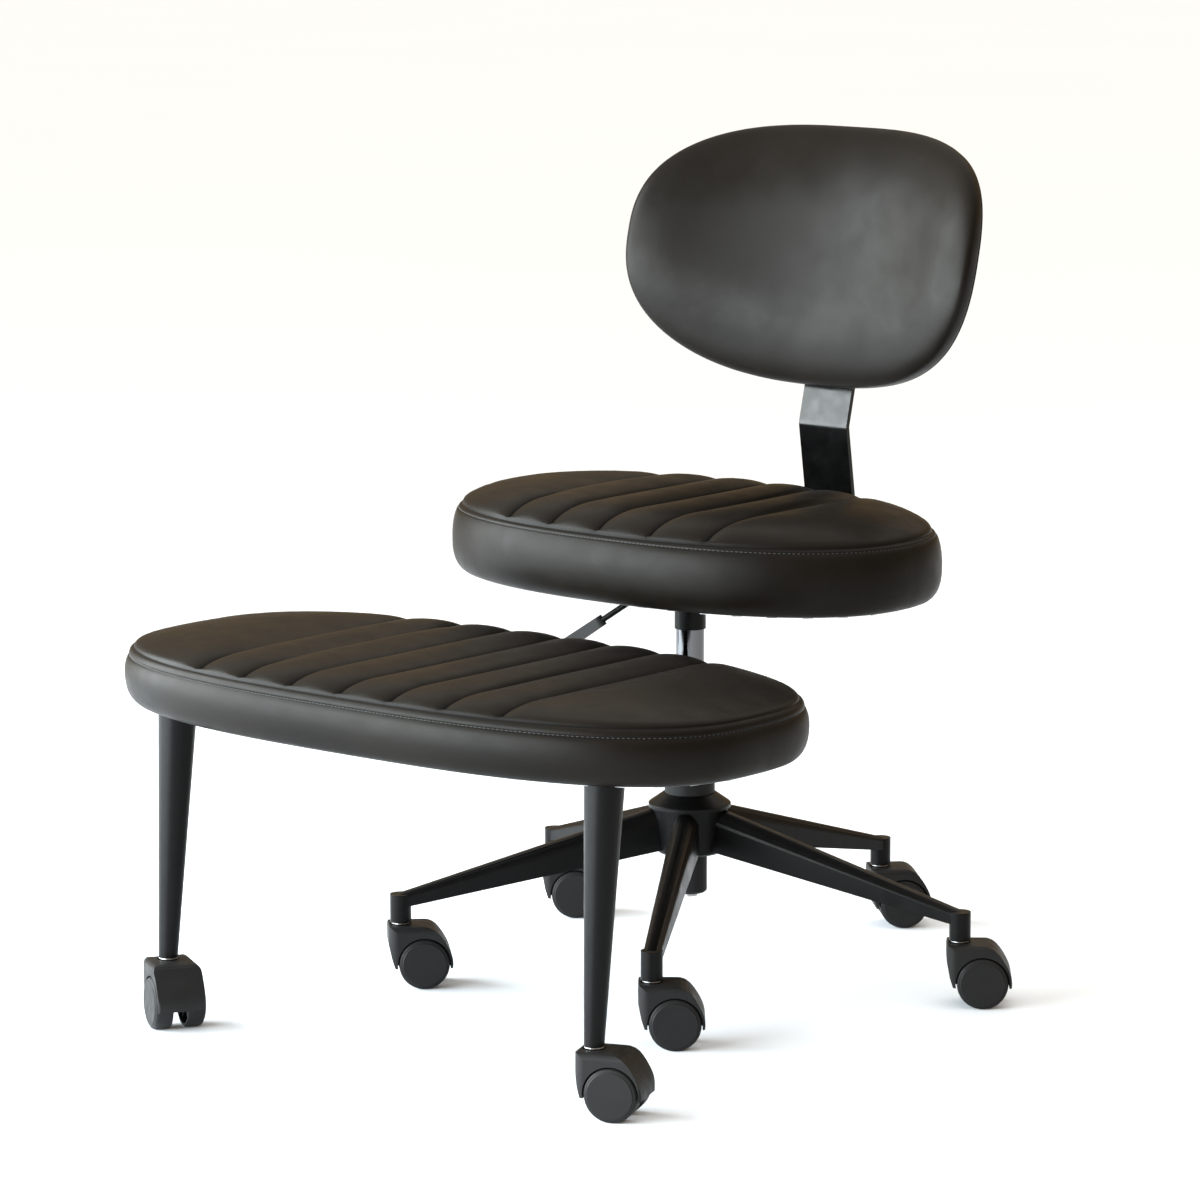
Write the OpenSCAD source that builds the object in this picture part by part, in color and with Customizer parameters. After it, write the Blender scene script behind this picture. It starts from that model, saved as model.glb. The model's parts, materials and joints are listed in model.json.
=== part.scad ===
// Cross-legged chair: a padded seat with a low backrest on a gas lift and a five-leg
// star base, and a long padded bench in front that turns about the same column.
// Millimetres, +Z up. The origin is on the floor under the column. The chair faces -Y,
// and +X is on the right in a view from the front.

/* [Casters] */
// Diameter of each wheel
wheel_d = 50; // [44:1:56]
// Width of one wheel
wheel_w = 18.2; // [15:0.2:20]
// Distance from the swivel axis to the axle
trail = 22; // [18:1:26]
// Height of the hood above the wheel
hood_rise = 12; // [9:1:16]
// Reach of the hood ahead of the swivel axis
hood_nose = 13; // [11:0.5:16]
// Thickness of the web between the two wheels
web_t = 12; // [11:0.5:15]
// Diameter of the caster stem
stem_d = 10; // [8:0.5:10]
// Diameter of the axle
axle_d = 6; // [5:0.5:8]

/* [Star base] */
// Radius of the circle on which the five stems stand
stem_circle_r = 290; // [240:5:340]
// Plan angle of the front leg
base_turn = -58.6; // [-90:0.1:-40]
// Height of the hub's top face
hub_top_z = 170; // [150:1:190]
// Height of the hub
hub_h = 46; // [44:1:60]
// Diameter of the hub at its top
hub_top_d = 77; // [70:1:90]
// Diameter of the hub at its bottom
hub_bottom_d = 66; // [60:1:76]
// Height of a leg's pressed channel at the hub
leg_root_h = 43; // [34:1:44]
// Height of the channel at the stem
leg_tip_h = 14; // [10:1:20]
// Width of the channel at the hub
leg_root_w = 27; // [22:1:34]
// Width of the channel at the stem
leg_tip_w = 17; // [14:0.5:19]
// Thickness of the pressed sheet
sheet_t = 2; // [1.5:0.1:3]
// Diameter of the socket that holds a stem
socket_d = 21; // [20:0.5:26]
// Height of the socket
socket_h = 29; // [27:1:36]

/* [Gas lift] */
// Diameter of the column tube
column_d = 50; // [46:1:54]
// Height of the column's top edge
column_top_z = 308; // [306:1:320]
// Diameter of the gas cylinder
cylinder_d = 28; // [25:0.5:28.5]
// Travel of the seat
lift_travel = 90; // [60:5:95]

/* [Bench] */
// Half of the bench's length
bench_half_l = 368; // [330:1:400]
// Half of the bench's depth
bench_half_d = 183; // [165:1:195]
// Distance from the column axis forward to the bench's centre
bench_reach = 350; // [350:1:380]
// Height of the bench's underside
bench_bottom_z = 303; // [296:0.5:308]
// Height of the bench's side, from the underside to the sewn edge
bench_side_h = 54.5; // [46:0.5:56]
// Rise of the padding above the sewn edge
bench_crown = 14; // [8:1:16]
// Number of sewn channels
bench_channels = 7; // [3:2:7]
// Spacing of the channels
bench_pitch = 63; // [50:1:66]
// Diameter of a bench leg at the top
bench_leg_top_d = 37; // [30:1:40]
// Diameter of a bench leg at the foot
bench_leg_foot_d = 18.5; // [16:0.5:22]
// Distance of each bench leg in from the bench's end
bench_leg_in = 105; // [90:1:145]

/* [Seat] */
// Half of the seat's width
seat_half_w = 271.5; // [250:0.5:300]
// Half of the seat's depth
seat_half_d = 165; // [160:1:172]
// Height of the seat's underside at its lowest setting
seat_bottom_z = 394; // [394:1:410]
// Height of the seat's side, from the underside to the sewn edge
seat_side_h = 67; // [56:1:76]
// Rise of the padding above the sewn edge
seat_crown = 22; // [10:1:24]
// Number of sewn channels
seat_channels = 5; // [3:2:5]
// Spacing of the channels
seat_pitch = 63.5; // [50:0.5:68]

/* [Backrest] */
// Half of the backrest's width
back_half_w = 214.5; // [190:0.5:235]
// Half of the backrest's height
back_half_h = 133; // [120:1:145]
// Thickness of the padding at its edge
back_t = 31; // [28:1:38]
// Rise of the padding at the middle of the front
back_crown = 12; // [8:1:18]
// Radius of the backrest's curve round the sitter
back_curve_r = 372; // [340:1:450]
// Backward lean
back_tilt = 14; // [8:0.5:18]
// Distance of the front's middle behind the column axis
back_y = 219.8; // [215:0.2:230]
// Height of the front's middle
back_z = 702; // [695:1:730]
// Width of the steel bar that carries the backrest
bar_w = 60; // [50:1:70]
// Thickness of the bar
bar_t = 5; // [4:0.5:6]

/* [Lever] */
// Angle of the lever forward of the side
lever_turn = 22; // [12:1:30]
// Diameter of the lever's rod
rod_d = 6; // [5:0.5:7]
// Distance of the lever's tip from the column axis
lever_reach = 145; // [130:1:148]

/* [Hidden] */
// Smoothness of round surfaces
$fn = 64;
// Overrun of every cut
cut = 1;
// Clearance of a running or sliding fit, on the radius
run_gap = 0.05;
// Clearance between a soft piece and what it holds
soft_gap = 0.3;

leather = [0.09, 0.09, 0.085];
steel_black = [0.05, 0.05, 0.055];
plastic_black = [0.07, 0.07, 0.075];
chrome = [0.78, 0.79, 0.8];
zinc = [0.6, 0.6, 0.62];
wood_black = [0.13, 0.11, 0.09];

// Heights shared by the casters and what stands on them
wheel_r = wheel_d / 2;
stem_r = stem_d / 2;
axle_r = axle_d / 2;
hood_top_z = wheel_d + hood_rise;
foot_gap = 2;
foot_z = hood_top_z + foot_gap;

// Caster pieces
side_gap = 1.2;
wheel_in = web_t / 2 + side_gap;
wheel_out = wheel_in + wheel_w;
face_proud = 2;
hood_half_w = wheel_out - face_proud;
tread_gap = 1.2;
fender_t = 2.4;
fender_r = wheel_r + tread_gap + fender_t;
fender_turn = 8;
nose_round = 10;
crown_round = 6;
tail_round = 3;
stem_in_hood = 21;
stem_in_leg = 24;
ring_r = 8;
dish_r = 10.5;
dish_depth = 2;
groove_r_share = 0.84;
groove_w = 1.6;
groove_rise = 3;
axle_recess = 4.4;
wheel_face_t = 3.4;
wheel_rim_t = 3.2;
boss_wall = 3.5;
boss_r = axle_r + boss_wall;
boss_gap = 0.3;
shoulder = 3;
shoulder_steps = 4;
face_lip = 0.8;
edge_break = 1;
rib_t = 1.6;
wheel_ribs = 6;
// Points of the nose seen from the side, as shares of its reach and of the hood's height
nose_shares = [[1, 0.95], [0.98, 0.72], [0.76, 0.49], [0.52, 0.34]];
fender_shape = 5;
fender_steps = 12;

// Which way each caster points at rest, as the plan angle of its trail
BASE_CASTERS = ["front", "right", "back_right", "back_left", "left"];
BENCH_CASTERS = ["bench_right", "bench_left"];
base_headings = [39, 37, 45, 39, 45];
bench_headings = [22, -31];

// Star base
leg_count = len(BASE_CASTERS);
leg_step = 360 / leg_count;
hub_bottom_z = hub_top_z - hub_h;
hub_edge = 2;
column_seat_d = 40;
collar_over = 5;
collar_edge = 3.5;
collar_rise = 14;
collar_neck = 1.4;
leg_top_drop = 1.5;
leg_tip_z = foot_z + socket_h;
leg_root_lap = 4;
leg_root_x = hub_bottom_d / 2 - leg_root_lap;
socket_edge = 1;
// Half of the pressed channel's outline, as shares of its half width and its height
channel_shares = [[1, 0], [1, 0.66], [0.96, 0.74], [0.72, 0.88], [0.5, 0.965], [0.26, 0.993], [0, 1]];
// Stations past the stem that round the leg's end, as shares of the socket radius and width
tip_shares = [[0.5, 0.84], [0.86, 0.42]];

// Gas lift
column_wall = 2;
column_foot_d = 35;
column_foot_drop = 41;
column_foot_z = hub_bottom_z - column_foot_drop;
column_floor = 5;
column_gap = 1;
column_bore_r = cylinder_d / 2 + column_gap;
foot_round = 2;
bushing_h = 80;
bushing_rim = 3;
cylinder_foot_rise = 47;
cylinder_top_drop = 19;
cylinder_bottom_z = column_foot_z + cylinder_foot_rise;
cylinder_top_z = seat_bottom_z - cylinder_top_drop;
cylinder_wall = 2;
gland_t = 10;
piston_rod_r = 5;
piston_h = 8;
rod_end_room = 6;
rod_top_z = cylinder_bottom_z + gland_t + lift_travel + piston_h + rod_end_room;
rod_end = 4;
clip_r = 8;
clip_t = 2;
valve_r = 4;
valve_h = 9.7;
valve_rise = 4.7;
valve_depth = 10;

// Bench carrier
board_t = 12;
board_inset = 24;
board_sides = 48;
sleeve_h = 42;
sleeve_wall = 5;
liner_t = 5;
liner_flange = 8;
liner_flange_t = 3;
carry_gap = 0.3;
carry_ring_t = 11;
carry_ring_h = 12;
arm_t = 5;
arm_root_w = 66;
arm_end_w = 140;
arm_lap = 123;
arm_corner = 12;
gusset_l = 95;
gusset_t = 5;
gusset_drop = 8;
// Bolts of the arm, as shares of half its end's width and of its lap under the bench
arm_bolt_shares = [[0.43, 0.45], [0.72, 0.85]];
bench_rear_y = bench_half_d - bench_reach;
arm_end_y = bench_rear_y - arm_lap;
arm_bolts = [for (p = arm_bolt_shares) [p.x * arm_end_w / 2, bench_rear_y - p.y * arm_lap]];
bench_leg_setback = 79;
bench_leg_x = bench_half_l - bench_leg_in;
bench_leg_y = bench_leg_setback - bench_half_d;
bench_leg_lean = 16.4;
bench_leg_splay = 1.4;
bench_leg_wall = 1.8;
leg_plug = 30;
leg_cap = 8;
stud_r = 5;
bench_n = 2.75;
bench_bottom_round = 8;
bench_top_round = 8;
sleeve_r = column_d / 2 + liner_t + sleeve_wall;

// Soft forms
channel_depth = 4.5;
channel_half_w = 7;
crown_reach = 72;
channel_fade_share = 0.04;
// Columns between the outer channel and the cushion's end, as shares of that distance
end_shares = [0.3, 0.58, 0.76, 0.88, 0.95, 0.985, 0.996, 0.9996];
// Rows across the cushion, as shares of its half depth
row_shares = [-1, -0.94, -0.84, -0.68, -0.44, -0.15, 0.15, 0.44, 0.68, 0.84, 0.94, 1];
// Round edges of the side, as shares of the edge radius: inset and height
low_edge_shares = [[1, 0], [0.3, 0.3], [0, 1]];
high_edge_shares = [[0, -2], [0.35, -0.6], [1, 0]];

// Seat carrier
seat_y = 4;
seat_n = 2.3;
seat_bottom_round = 8;
seat_top_round = 9;
plate_l = 190;
plate_d = 150;
plate_t = 3;
plate_corner = 15;
plate_bolt_x = 78;
plate_bolt_y = 58;
box_l = 80;
box_d = 66;
box_h = 18;
box_wall = 2.5;
box_corner = 8;
grip_wall = 1.5;
grip_drop = 45;
grip_flare = 6;
bolt_r = 3;
bolt_head_r = 6;
bolt_head_h = 3;
bolt_l = 12;

// Lever, in a frame that points along it
pivot_x = 34;
pivot_drop = 12;
pivot_z = seat_bottom_z - pivot_drop;
pivot_r = 2.5;
lug_t = 4;
lug_gap = 0.3;
lug_w = 11;
blade_w = 12;
blade_t = 4;
blade_end = 4;
rod_straight = 48;
elbow_proud = 0.3;
lever_slope = 35;
grip_x = 89;
grip_w = 14;
grip_t = 12;
grip_end = 4;
slot_gap = 1.5;

// Backrest carrier
back_u_n = 2.7;
back_w_n = 2.52;
back_sides = 56;
back_board_t = 8;
back_board_inset = 22;
bar_pad_t = 6;
bar_pad_w = 64;
bar_pad_h = 110;
bar_kink_z = 528;
bar_lean = 8.7;
bar_bend_r = 50;
bar_kink_r = 12;
bend_steps = 14;
bar_top = 45;
bar_start_y = 84;
bar_bolt_x = 17;
bar_bolts_y = [98, 126];
back_bolts_w = [-35, 25];
back_bolt_l = 12;
// Levels of the backrest's padding: inset and depth as shares of the edge radius
back_edge_r = 13;
back_front_shares = [[0, 1], [0.3, 0.3], [1, 0]];
back_rear_shares = [[1, 0], [0.3, 0.3], [0, 1]];
back_ring_shares = [0.9, 0.76, 0.56, 0.3];

// Shape helpers

function rim_share(x, a, n) = pow(max(0, 1 - pow(abs(x) / a, n)), 1 / n);
function power(v, p) = sign(v) * pow(abs(v), p);
function oval(a, b, n, m, count) =
    [for (i = [0:count - 1]) let (t = 360 * i / count)
        [a * power(cos(t), 2 / n), b * power(sin(t), 2 / m)]];
function quad(a, b, c, d) = [[a, b, c], [a, c, d]];
function at_angle(r, t) = [r * cos(t), r * sin(t)];

module rounded(l, w, r) {
    square([l - 2 * r, w], center = true);
    square([l, w - 2 * r], center = true);
    for (x = [-1, 1], y = [-1, 1]) translate([x * (l / 2 - r), y * (w / 2 - r)]) circle(r);
}

module along(v) {
    rotate([0, acos(v.z / norm(v)), atan2(v.y, v.x)]) children();
}

// A button-head bolt: its head hangs below z = 0 and its shank stands above
module bolt(shank_r, shank_l, head_r, head_h) {
    difference() {
        union() {
            cylinder(h = shank_l, r = shank_r);
            rotate_extrude() polygon([[0, 0], [head_r, 0], [head_r, -head_h / 3],
                [head_r * 3 / 4, -head_h], [0, -head_h]]);
        }
        translate([0, 0, -head_h - cut]) cylinder(h = head_h * 2 / 3 + cut, r = head_r / 2, $fn = 6);
    }
}

// Caster, in a frame with the swivel axis at the origin and the axle at +X

function nose_points() = [for (s = nose_shares) [-hood_nose * s.x, hood_top_z * s.y]];
function fender_points() =
    [for (i = [0:fender_steps])
        let (t = 90 - (90 + fender_turn) * i / fender_steps,
             r = fender_r + (hood_top_z - wheel_r - fender_r) * pow(max(0, sin(t)), fender_shape))
        [trail, wheel_r] + at_angle(r, t)];

module hood_side() {
    polygon(concat(
        [[-hood_nose * nose_shares[0].x + edge_break, hood_top_z]],
        fender_points(),
        [[trail + boss_r, wheel_r - boss_r], [trail - boss_r, wheel_r - boss_r]],
        [for (i = [len(nose_shares) - 1:-1:0]) nose_points()[i]]));
}

module hood_plan() {
    length = hood_nose + trail + fender_r;
    intersection() {
        translate([length / 2 - hood_nose, 0]) rounded(length, 2 * hood_half_w, tail_round);
        union() {
            translate([length / 2 - hood_nose, 0]) rounded(length, 2 * hood_half_w, nose_round);
            translate([nose_round, -hood_half_w]) square([length, 2 * hood_half_w]);
        }
    }
}

module hood_end() {
    rise = hood_top_z - crown_round;
    translate([-hood_half_w, 0]) square([2 * hood_half_w, rise]);
    translate([crown_round - hood_half_w, 0]) square([2 * (hood_half_w - crown_round), hood_top_z]);
    for (s = [-1, 1]) translate([s * (hood_half_w - crown_round), rise]) circle(crown_round);
}

module caster_hood() {
    floor_z = hood_top_z - stem_in_hood;
    color(plastic_black) difference() {
        intersection() {
            rotate([90, 0, 0]) linear_extrude(2 * hood_half_w, center = true) hood_side();
            linear_extrude(hood_top_z) hood_plan();
            translate([-hood_nose - cut, 0, 0]) rotate([90, 0, 90])
                linear_extrude(hood_nose + trail + fender_r + 2 * cut) hood_end();
        }
        for (s = [-1, 1]) translate([trail, s * web_t / 2, wheel_r])
            rotate([-90 * s, 0, 0]) cylinder(h = hood_half_w, r = wheel_r + tread_gap);
        translate([trail, 0, wheel_r]) rotate([90, 0, 0])
            cylinder(h = web_t + 2 * cut, r = axle_r, center = true);
        translate([0, 0, floor_z]) cylinder(h = stem_in_hood + cut, r = stem_r + run_gap);
        translate([0, 0, hood_top_z - dish_depth]) cylinder(h = dish_depth + cut, r = dish_r);
    }
}

module caster_axle() {
    length = 2 * (wheel_out - axle_recess);
    color(zinc) translate([trail, 0, wheel_r]) rotate([90, 0, 0])
        cylinder(h = length, r = axle_r, center = true);
}

function shoulder_points() =
    [for (i = [0:shoulder_steps]) let (t = 90 * i / shoulder_steps)
        [wheel_r - shoulder, wheel_w - shoulder - face_lip] + at_angle(shoulder, t)];

// One wheel, its open side on z = 0 and its face towards +Z
module wheel_body() {
    floor_h = wheel_w - wheel_face_t;
    rim_r = wheel_r - wheel_rim_t;
    boss_end = boss_gap - side_gap;
    face_r = wheel_r - shoulder;
    rotate_extrude() polygon(concat(
        [[0, floor_h], [axle_r + run_gap, floor_h], [axle_r + run_gap, boss_end], [boss_r, boss_end],
         [boss_r, floor_h], [rim_r, floor_h], [rim_r, 0], [wheel_r - edge_break, 0], [wheel_r, edge_break]],
        shoulder_points(),
        [[face_r - face_lip, wheel_w], [0, wheel_w]]));
    for (i = [0:wheel_ribs - 1]) rotate([0, 0, 360 * i / wheel_ribs])
        translate([boss_r - edge_break, -rib_t / 2, shoulder])
            cube([rim_r - boss_r + 2 * edge_break, rib_t, floor_h - shoulder + edge_break]);
}

module caster_wheel(side) {
    color(plastic_black) translate([trail, side * wheel_in, wheel_r])
        rotate([-90 * side, 0, 0]) wheel_body();
}

module caster_stem() {
    bottom = hood_top_z - stem_in_hood + boss_gap;
    top = foot_z + stem_in_leg;
    ring_z = hood_top_z - dish_depth + boss_gap;
    neck = stem_r * groove_r_share;
    groove_z = bottom + groove_rise;
    color(chrome) rotate_extrude() polygon([
        [0, bottom], [stem_r - edge_break, bottom], [stem_r, bottom + edge_break],
        [stem_r, groove_z], [neck, groove_z], [neck, groove_z + groove_w], [stem_r, groove_z + groove_w],
        [stem_r, ring_z], [ring_r - edge_break / 2, ring_z], [ring_r, ring_z + edge_break / 2],
        [ring_r, foot_z], [stem_r, foot_z], [stem_r, top], [0, top]]);
}

// Places of the casters

function base_angle(i) = base_turn + leg_step * i;
function base_place(i) = concat(at_angle(stem_circle_r, base_angle(i)), [0]);
function bench_top(side) = [side * bench_leg_x, bench_leg_y - bench_reach, bench_bottom_z];
function bench_foot(side) =
    [side * (bench_leg_x + bench_leg_splay), bench_leg_y - bench_reach - bench_leg_lean, foot_z];
function bench_place(i) = let (p = bench_foot(1 - 2 * i)) [p.x, p.y, 0];
PLACES = concat([for (i = [0:leg_count - 1]) base_place(i)], [bench_place(0), bench_place(1)]);
HEADINGS = concat(base_headings, bench_headings);
CASTERS = concat(BASE_CASTERS, BENCH_CASTERS);

module at_caster(i) {
    translate(PLACES[i]) rotate([0, 0, HEADINGS[i]]) children();
}

module base_caster_stems() {
    for (i = [0:leg_count - 1]) at_caster(i) caster_stem();
}

module bench_caster_stems() {
    for (i = [leg_count, leg_count + 1]) at_caster(i) caster_stem();
}

// Star base

function hub_r(z) =
    hub_bottom_d / 2 + (hub_top_d - hub_bottom_d) / 2 * (z - hub_bottom_z) / hub_h;

module base_hub() {
    color(steel_black) rotate_extrude() polygon([
        [column_seat_d / 2 + run_gap, hub_bottom_z], [hub_bottom_d / 2 - hub_edge, hub_bottom_z],
        [hub_r(hub_bottom_z + hub_edge), hub_bottom_z + hub_edge], [hub_top_d / 2, hub_top_z],
        [column_d / 2 + run_gap, hub_top_z]]);
}

module hub_collar() {
    inner = column_d / 2 + run_gap;
    outer = hub_top_d / 2 + collar_over / 2;
    color(steel_black) rotate_extrude() polygon([
        [inner, hub_top_z], [outer, hub_top_z], [outer, hub_top_z + collar_edge],
        [outer - edge_break, hub_top_z + collar_edge + edge_break],
        [inner + collar_neck, hub_top_z + collar_rise], [inner, hub_top_z + collar_rise]]);
}

// The pressed channel's section: outside up and over, then back inside, in the leg's frame
function channel_section(x, half_w, top_z, height) =
    let (n = len(channel_shares), low = top_z - height, w = half_w - sheet_t, h = height - sheet_t)
    concat(
        [for (i = [0:n - 1]) [x, half_w * channel_shares[i].x, low + height * channel_shares[i].y]],
        [for (i = [n - 2:-1:0]) [x, -half_w * channel_shares[i].x, low + height * channel_shares[i].y]],
        [for (i = [0:n - 1]) [x, -w * channel_shares[i].x, low + h * channel_shares[i].y]],
        [for (i = [n - 2:-1:0]) [x, w * channel_shares[i].x, low + h * channel_shares[i].y]]);

function leg_stations() =
    let (root_x = leg_root_x, tip_x = stem_circle_r, hub_x = hub_top_d / 2,
         slope = (hub_top_z - leg_top_drop - leg_tip_z) / (tip_x - hub_x),
         root_z = leg_tip_z + slope * (tip_x - root_x), half = leg_tip_w / 2)
    concat(
        [channel_section(root_x, leg_root_w / 2, root_z, leg_root_h),
         channel_section(tip_x, half, leg_tip_z, leg_tip_h)],
        [for (s = tip_shares) channel_section(tip_x + s.x * socket_d / 2, half * s.y,
            leg_tip_z - slope * s.x * socket_d / 2, leg_tip_h)]);

// Lofts a channel, whose sections run along the outside and back along the inside
module loft(sections) {
    n = len(sections[0]);
    half = n / 2;
    last = len(sections) - 1;
    end = last * n;
    polyhedron(
        points = [for (s = sections, p = s) p],
        faces = concat(
            [for (j = [0:half - 2]) each quad(j, j + 1, n - 2 - j, n - 1 - j)],
            [for (i = [0:last - 1], j = [0:n - 1]) let (k = (j + 1) % n)
                each quad(i * n + j, (i + 1) * n + j, (i + 1) * n + k, i * n + k)],
            [for (j = [0:half - 2]) each quad(end + n - 1 - j, end + n - 2 - j, end + j + 1, end + j)]),
        convexity = 4);
}

module base_leg(i) {
    color(steel_black) rotate([0, 0, base_angle(i)]) difference() {
        union() {
            difference() {
                loft(leg_stations());
                translate([0, 0, hub_bottom_z - hub_h]) cylinder(h = 3 * hub_h,
                    r1 = hub_r(hub_bottom_z - hub_h), r2 = hub_r(hub_bottom_z + 2 * hub_h));
            }
            translate([stem_circle_r, 0, foot_z]) cylinder(h = socket_h - socket_edge, r = socket_d / 2);
        }
        translate([stem_circle_r, 0, foot_z - cut]) cylinder(h = stem_in_leg + cut, r = stem_r);
    }
}

// Gas lift

module gas_column() {
    outer = column_d / 2;
    foot = column_foot_d / 2;
    shell = outer - column_wall;
    color(steel_black) rotate_extrude() polygon([
        [piston_rod_r + run_gap, column_foot_z], [foot - foot_round, column_foot_z],
        [foot, column_foot_z + foot_round], [foot, hub_bottom_z], [column_seat_d / 2, hub_bottom_z],
        [outer, hub_top_z], [outer, column_top_z - edge_break / 2], [outer - edge_break / 2, column_top_z],
        [shell, column_top_z], [shell, hub_top_z], [column_bore_r, hub_bottom_z],
        [column_bore_r, column_foot_z + column_floor],
        [piston_rod_r + run_gap, column_foot_z + column_floor]]);
}

module guide_bushing() {
    outer = column_d / 2 - column_wall;
    bore = cylinder_d / 2 + run_gap;
    color(plastic_black) rotate_extrude() polygon([
        [bore, column_top_z - bushing_h], [outer, column_top_z - bushing_h], [outer, column_top_z],
        [column_d / 2 - edge_break / 2, column_top_z],
        [column_d / 2 - edge_break, column_top_z + bushing_rim - edge_break],
        [bore + edge_break, column_top_z + bushing_rim], [bore, column_top_z + bushing_rim]]);
}

module piston_rod() {
    head_r = cylinder_d / 2 - cylinder_wall - run_gap;
    floor_z = column_foot_z + column_floor + boss_gap;
    color(zinc) rotate_extrude() polygon([
        [0, column_foot_z - rod_end], [clip_r, column_foot_z - rod_end],
        [clip_r, column_foot_z - boss_gap], [piston_rod_r, column_foot_z - boss_gap],
        [piston_rod_r, floor_z], [clip_r, floor_z], [clip_r, floor_z + clip_t],
        [piston_rod_r, floor_z + clip_t], [piston_rod_r, rod_top_z - piston_h],
        [head_r, rod_top_z - piston_h], [head_r, rod_top_z], [0, rod_top_z]]);
}

module gas_cylinder() {
    outer = cylinder_d / 2;
    bore = outer - cylinder_wall;
    crown_z = cylinder_top_z - valve_depth - cylinder_wall;
    color(chrome) rotate_extrude() polygon([
        [piston_rod_r + run_gap, cylinder_bottom_z], [outer - edge_break, cylinder_bottom_z],
        [outer, cylinder_bottom_z + edge_break], [outer, cylinder_top_z - edge_break],
        [outer - edge_break, cylinder_top_z], [valve_r + run_gap, cylinder_top_z],
        [valve_r + run_gap, crown_z + cylinder_wall], [0, crown_z + cylinder_wall], [0, crown_z],
        [bore, crown_z], [bore, cylinder_bottom_z + gland_t],
        [piston_rod_r + run_gap, cylinder_bottom_z + gland_t]]);
}

module valve_button() {
    top = cylinder_top_z + valve_rise;
    color(zinc) rotate_extrude() polygon([
        [0, top - valve_h], [valve_r, top - valve_h], [valve_r, top - edge_break],
        [valve_r - edge_break, top], [0, top]]);
}

// Padded pieces

function channel_x(i, count, pitch) = (i - (count - 1) / 2) * pitch;

// Columns of a channelled cushion from one end to the other
function cushion_columns(a, count, pitch) =
    let (edge = channel_x(count - 1, count, pitch) + channel_half_w, left = a - edge, n = len(end_shares))
    concat(
        [for (k = [n - 1:-1:0]) -edge - left * end_shares[k]],
        [for (i = [0:count - 1], d = [-channel_half_w, 0, channel_half_w, pitch / 2])
            if (i < count - 1 || d < pitch / 2) channel_x(i, count, pitch) + d],
        [for (s = end_shares) edge + left * s]);

function groove(x, count, pitch) =
    let (k = min(count - 1, max(0, round(x / pitch + (count - 1) / 2))),
         d = abs(x - channel_x(k, count, pitch)) / channel_half_w)
    channel_depth * exp(-d * d);

function crown_rise(r, b, crown) =
    let (t = max(0, 1 - (1 - min(1, r)) * b / crown_reach)) crown * sqrt(1 - t * t);

function top_point(x, s, a, b, n, z, crown, count, pitch) =
    let (y = s * b * rim_share(x, a, n),
         r = pow(pow(abs(x) / a, n) + pow(abs(y) / b, n), 1 / n),
         fade = min(1, (1 - abs(s)) / channel_fade_share))
    [x, y, z + crown_rise(r, b, crown) - fade * groove(x, count, pitch)];

// The outline of one level, round from the front to the right, the back and the left
function ring(columns, a, b, n, inset, z) =
    let (k = len(columns) - 1, rows = len(row_shares) - 2, sx = (a - inset) / a, sy = b - inset)
    concat(
        [for (i = [0:k]) [columns[i] * sx, -sy * rim_share(columns[i], a, n), z]],
        [for (j = [1:rows]) [columns[k] * sx, row_shares[j] * sy * rim_share(columns[k], a, n), z]],
        [for (i = [k:-1:0]) [columns[i] * sx, sy * rim_share(columns[i], a, n), z]],
        [for (j = [rows:-1:1]) [columns[0] * sx, row_shares[j] * sy * rim_share(columns[0], a, n), z]]);

// The places of the same outline in the grid of the top
function ring_in_grid(k, rows) =
    concat(
        [for (i = [0:k]) i * (rows + 1)],
        [for (j = [1:rows - 1]) k * (rows + 1) + j],
        [for (i = [k:-1:0]) i * (rows + 1) + rows],
        [for (j = [rows - 1:-1:1]) j]);

// The underside of a ring: strips from front to back, and a fan over either end
function flat_bottom(k, rows, p) =
    let (back = k + rows + 1)
    concat(
        [for (i = [1:k - 2]) each quad(i, i + 1, back + k - i - 1, back + k - i)],
        [for (q = [2 * k + rows:p - 1]) [1, q, (q + 1) % p]],
        [for (q = [k - 1:k + rows]) [back + 1, q, q + 1]]);

module channelled_cushion(a, b, n, z0, side_h, crown, low_r, high_r, count, pitch) {
    z1 = z0 + side_h;
    columns = cushion_columns(a, count, pitch);
    k = len(columns) - 1;
    rows = len(row_shares) - 1;
    top_a = a - high_r;
    top_b = b - high_r;
    rings = concat(
        [for (s = low_edge_shares) ring(columns, a, b, n, low_r * s.x, z0 + low_r * s.y)],
        [for (i = [0:1]) let (s = high_edge_shares[i])
            ring(columns, a, b, n, high_r * s.x, z1 + high_r * s.y)]);
    p = len(rings[0]);
    grid_start = len(rings) * p;
    grid = [for (x = columns, s = row_shares)
        let (q = top_point(x, s, a, b, n, z1, crown, count, pitch))
        [q.x * top_a / a, q.y * top_b / b, q.z]];
    edge = ring_in_grid(k, rows);
    polyhedron(
        points = concat([for (r = rings, q = r) q], grid),
        faces = concat(
            flat_bottom(k, rows - 1, p),
            [for (l = [0:len(rings) - 2], j = [0:p - 1]) let (m = (j + 1) % p)
                each quad(l * p + j, (l + 1) * p + j, (l + 1) * p + m, l * p + m)],
            [for (j = [0:p - 1]) let (m = (j + 1) % p, l = len(rings) - 1)
                each quad(l * p + j, grid_start + edge[j], grid_start + edge[m], l * p + m)],
            [for (i = [0:k - 1], j = [0:rows - 1])
                let (g = grid_start + i * (rows + 1) + j)
                each quad(g, g + 1, g + rows + 2, g + rows + 1)]),
        convexity = 6);
}

module board_outline(a, b, n, inset) {
    polygon(oval(a - inset, b - inset, n, n, board_sides));
}

// Bench

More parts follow.
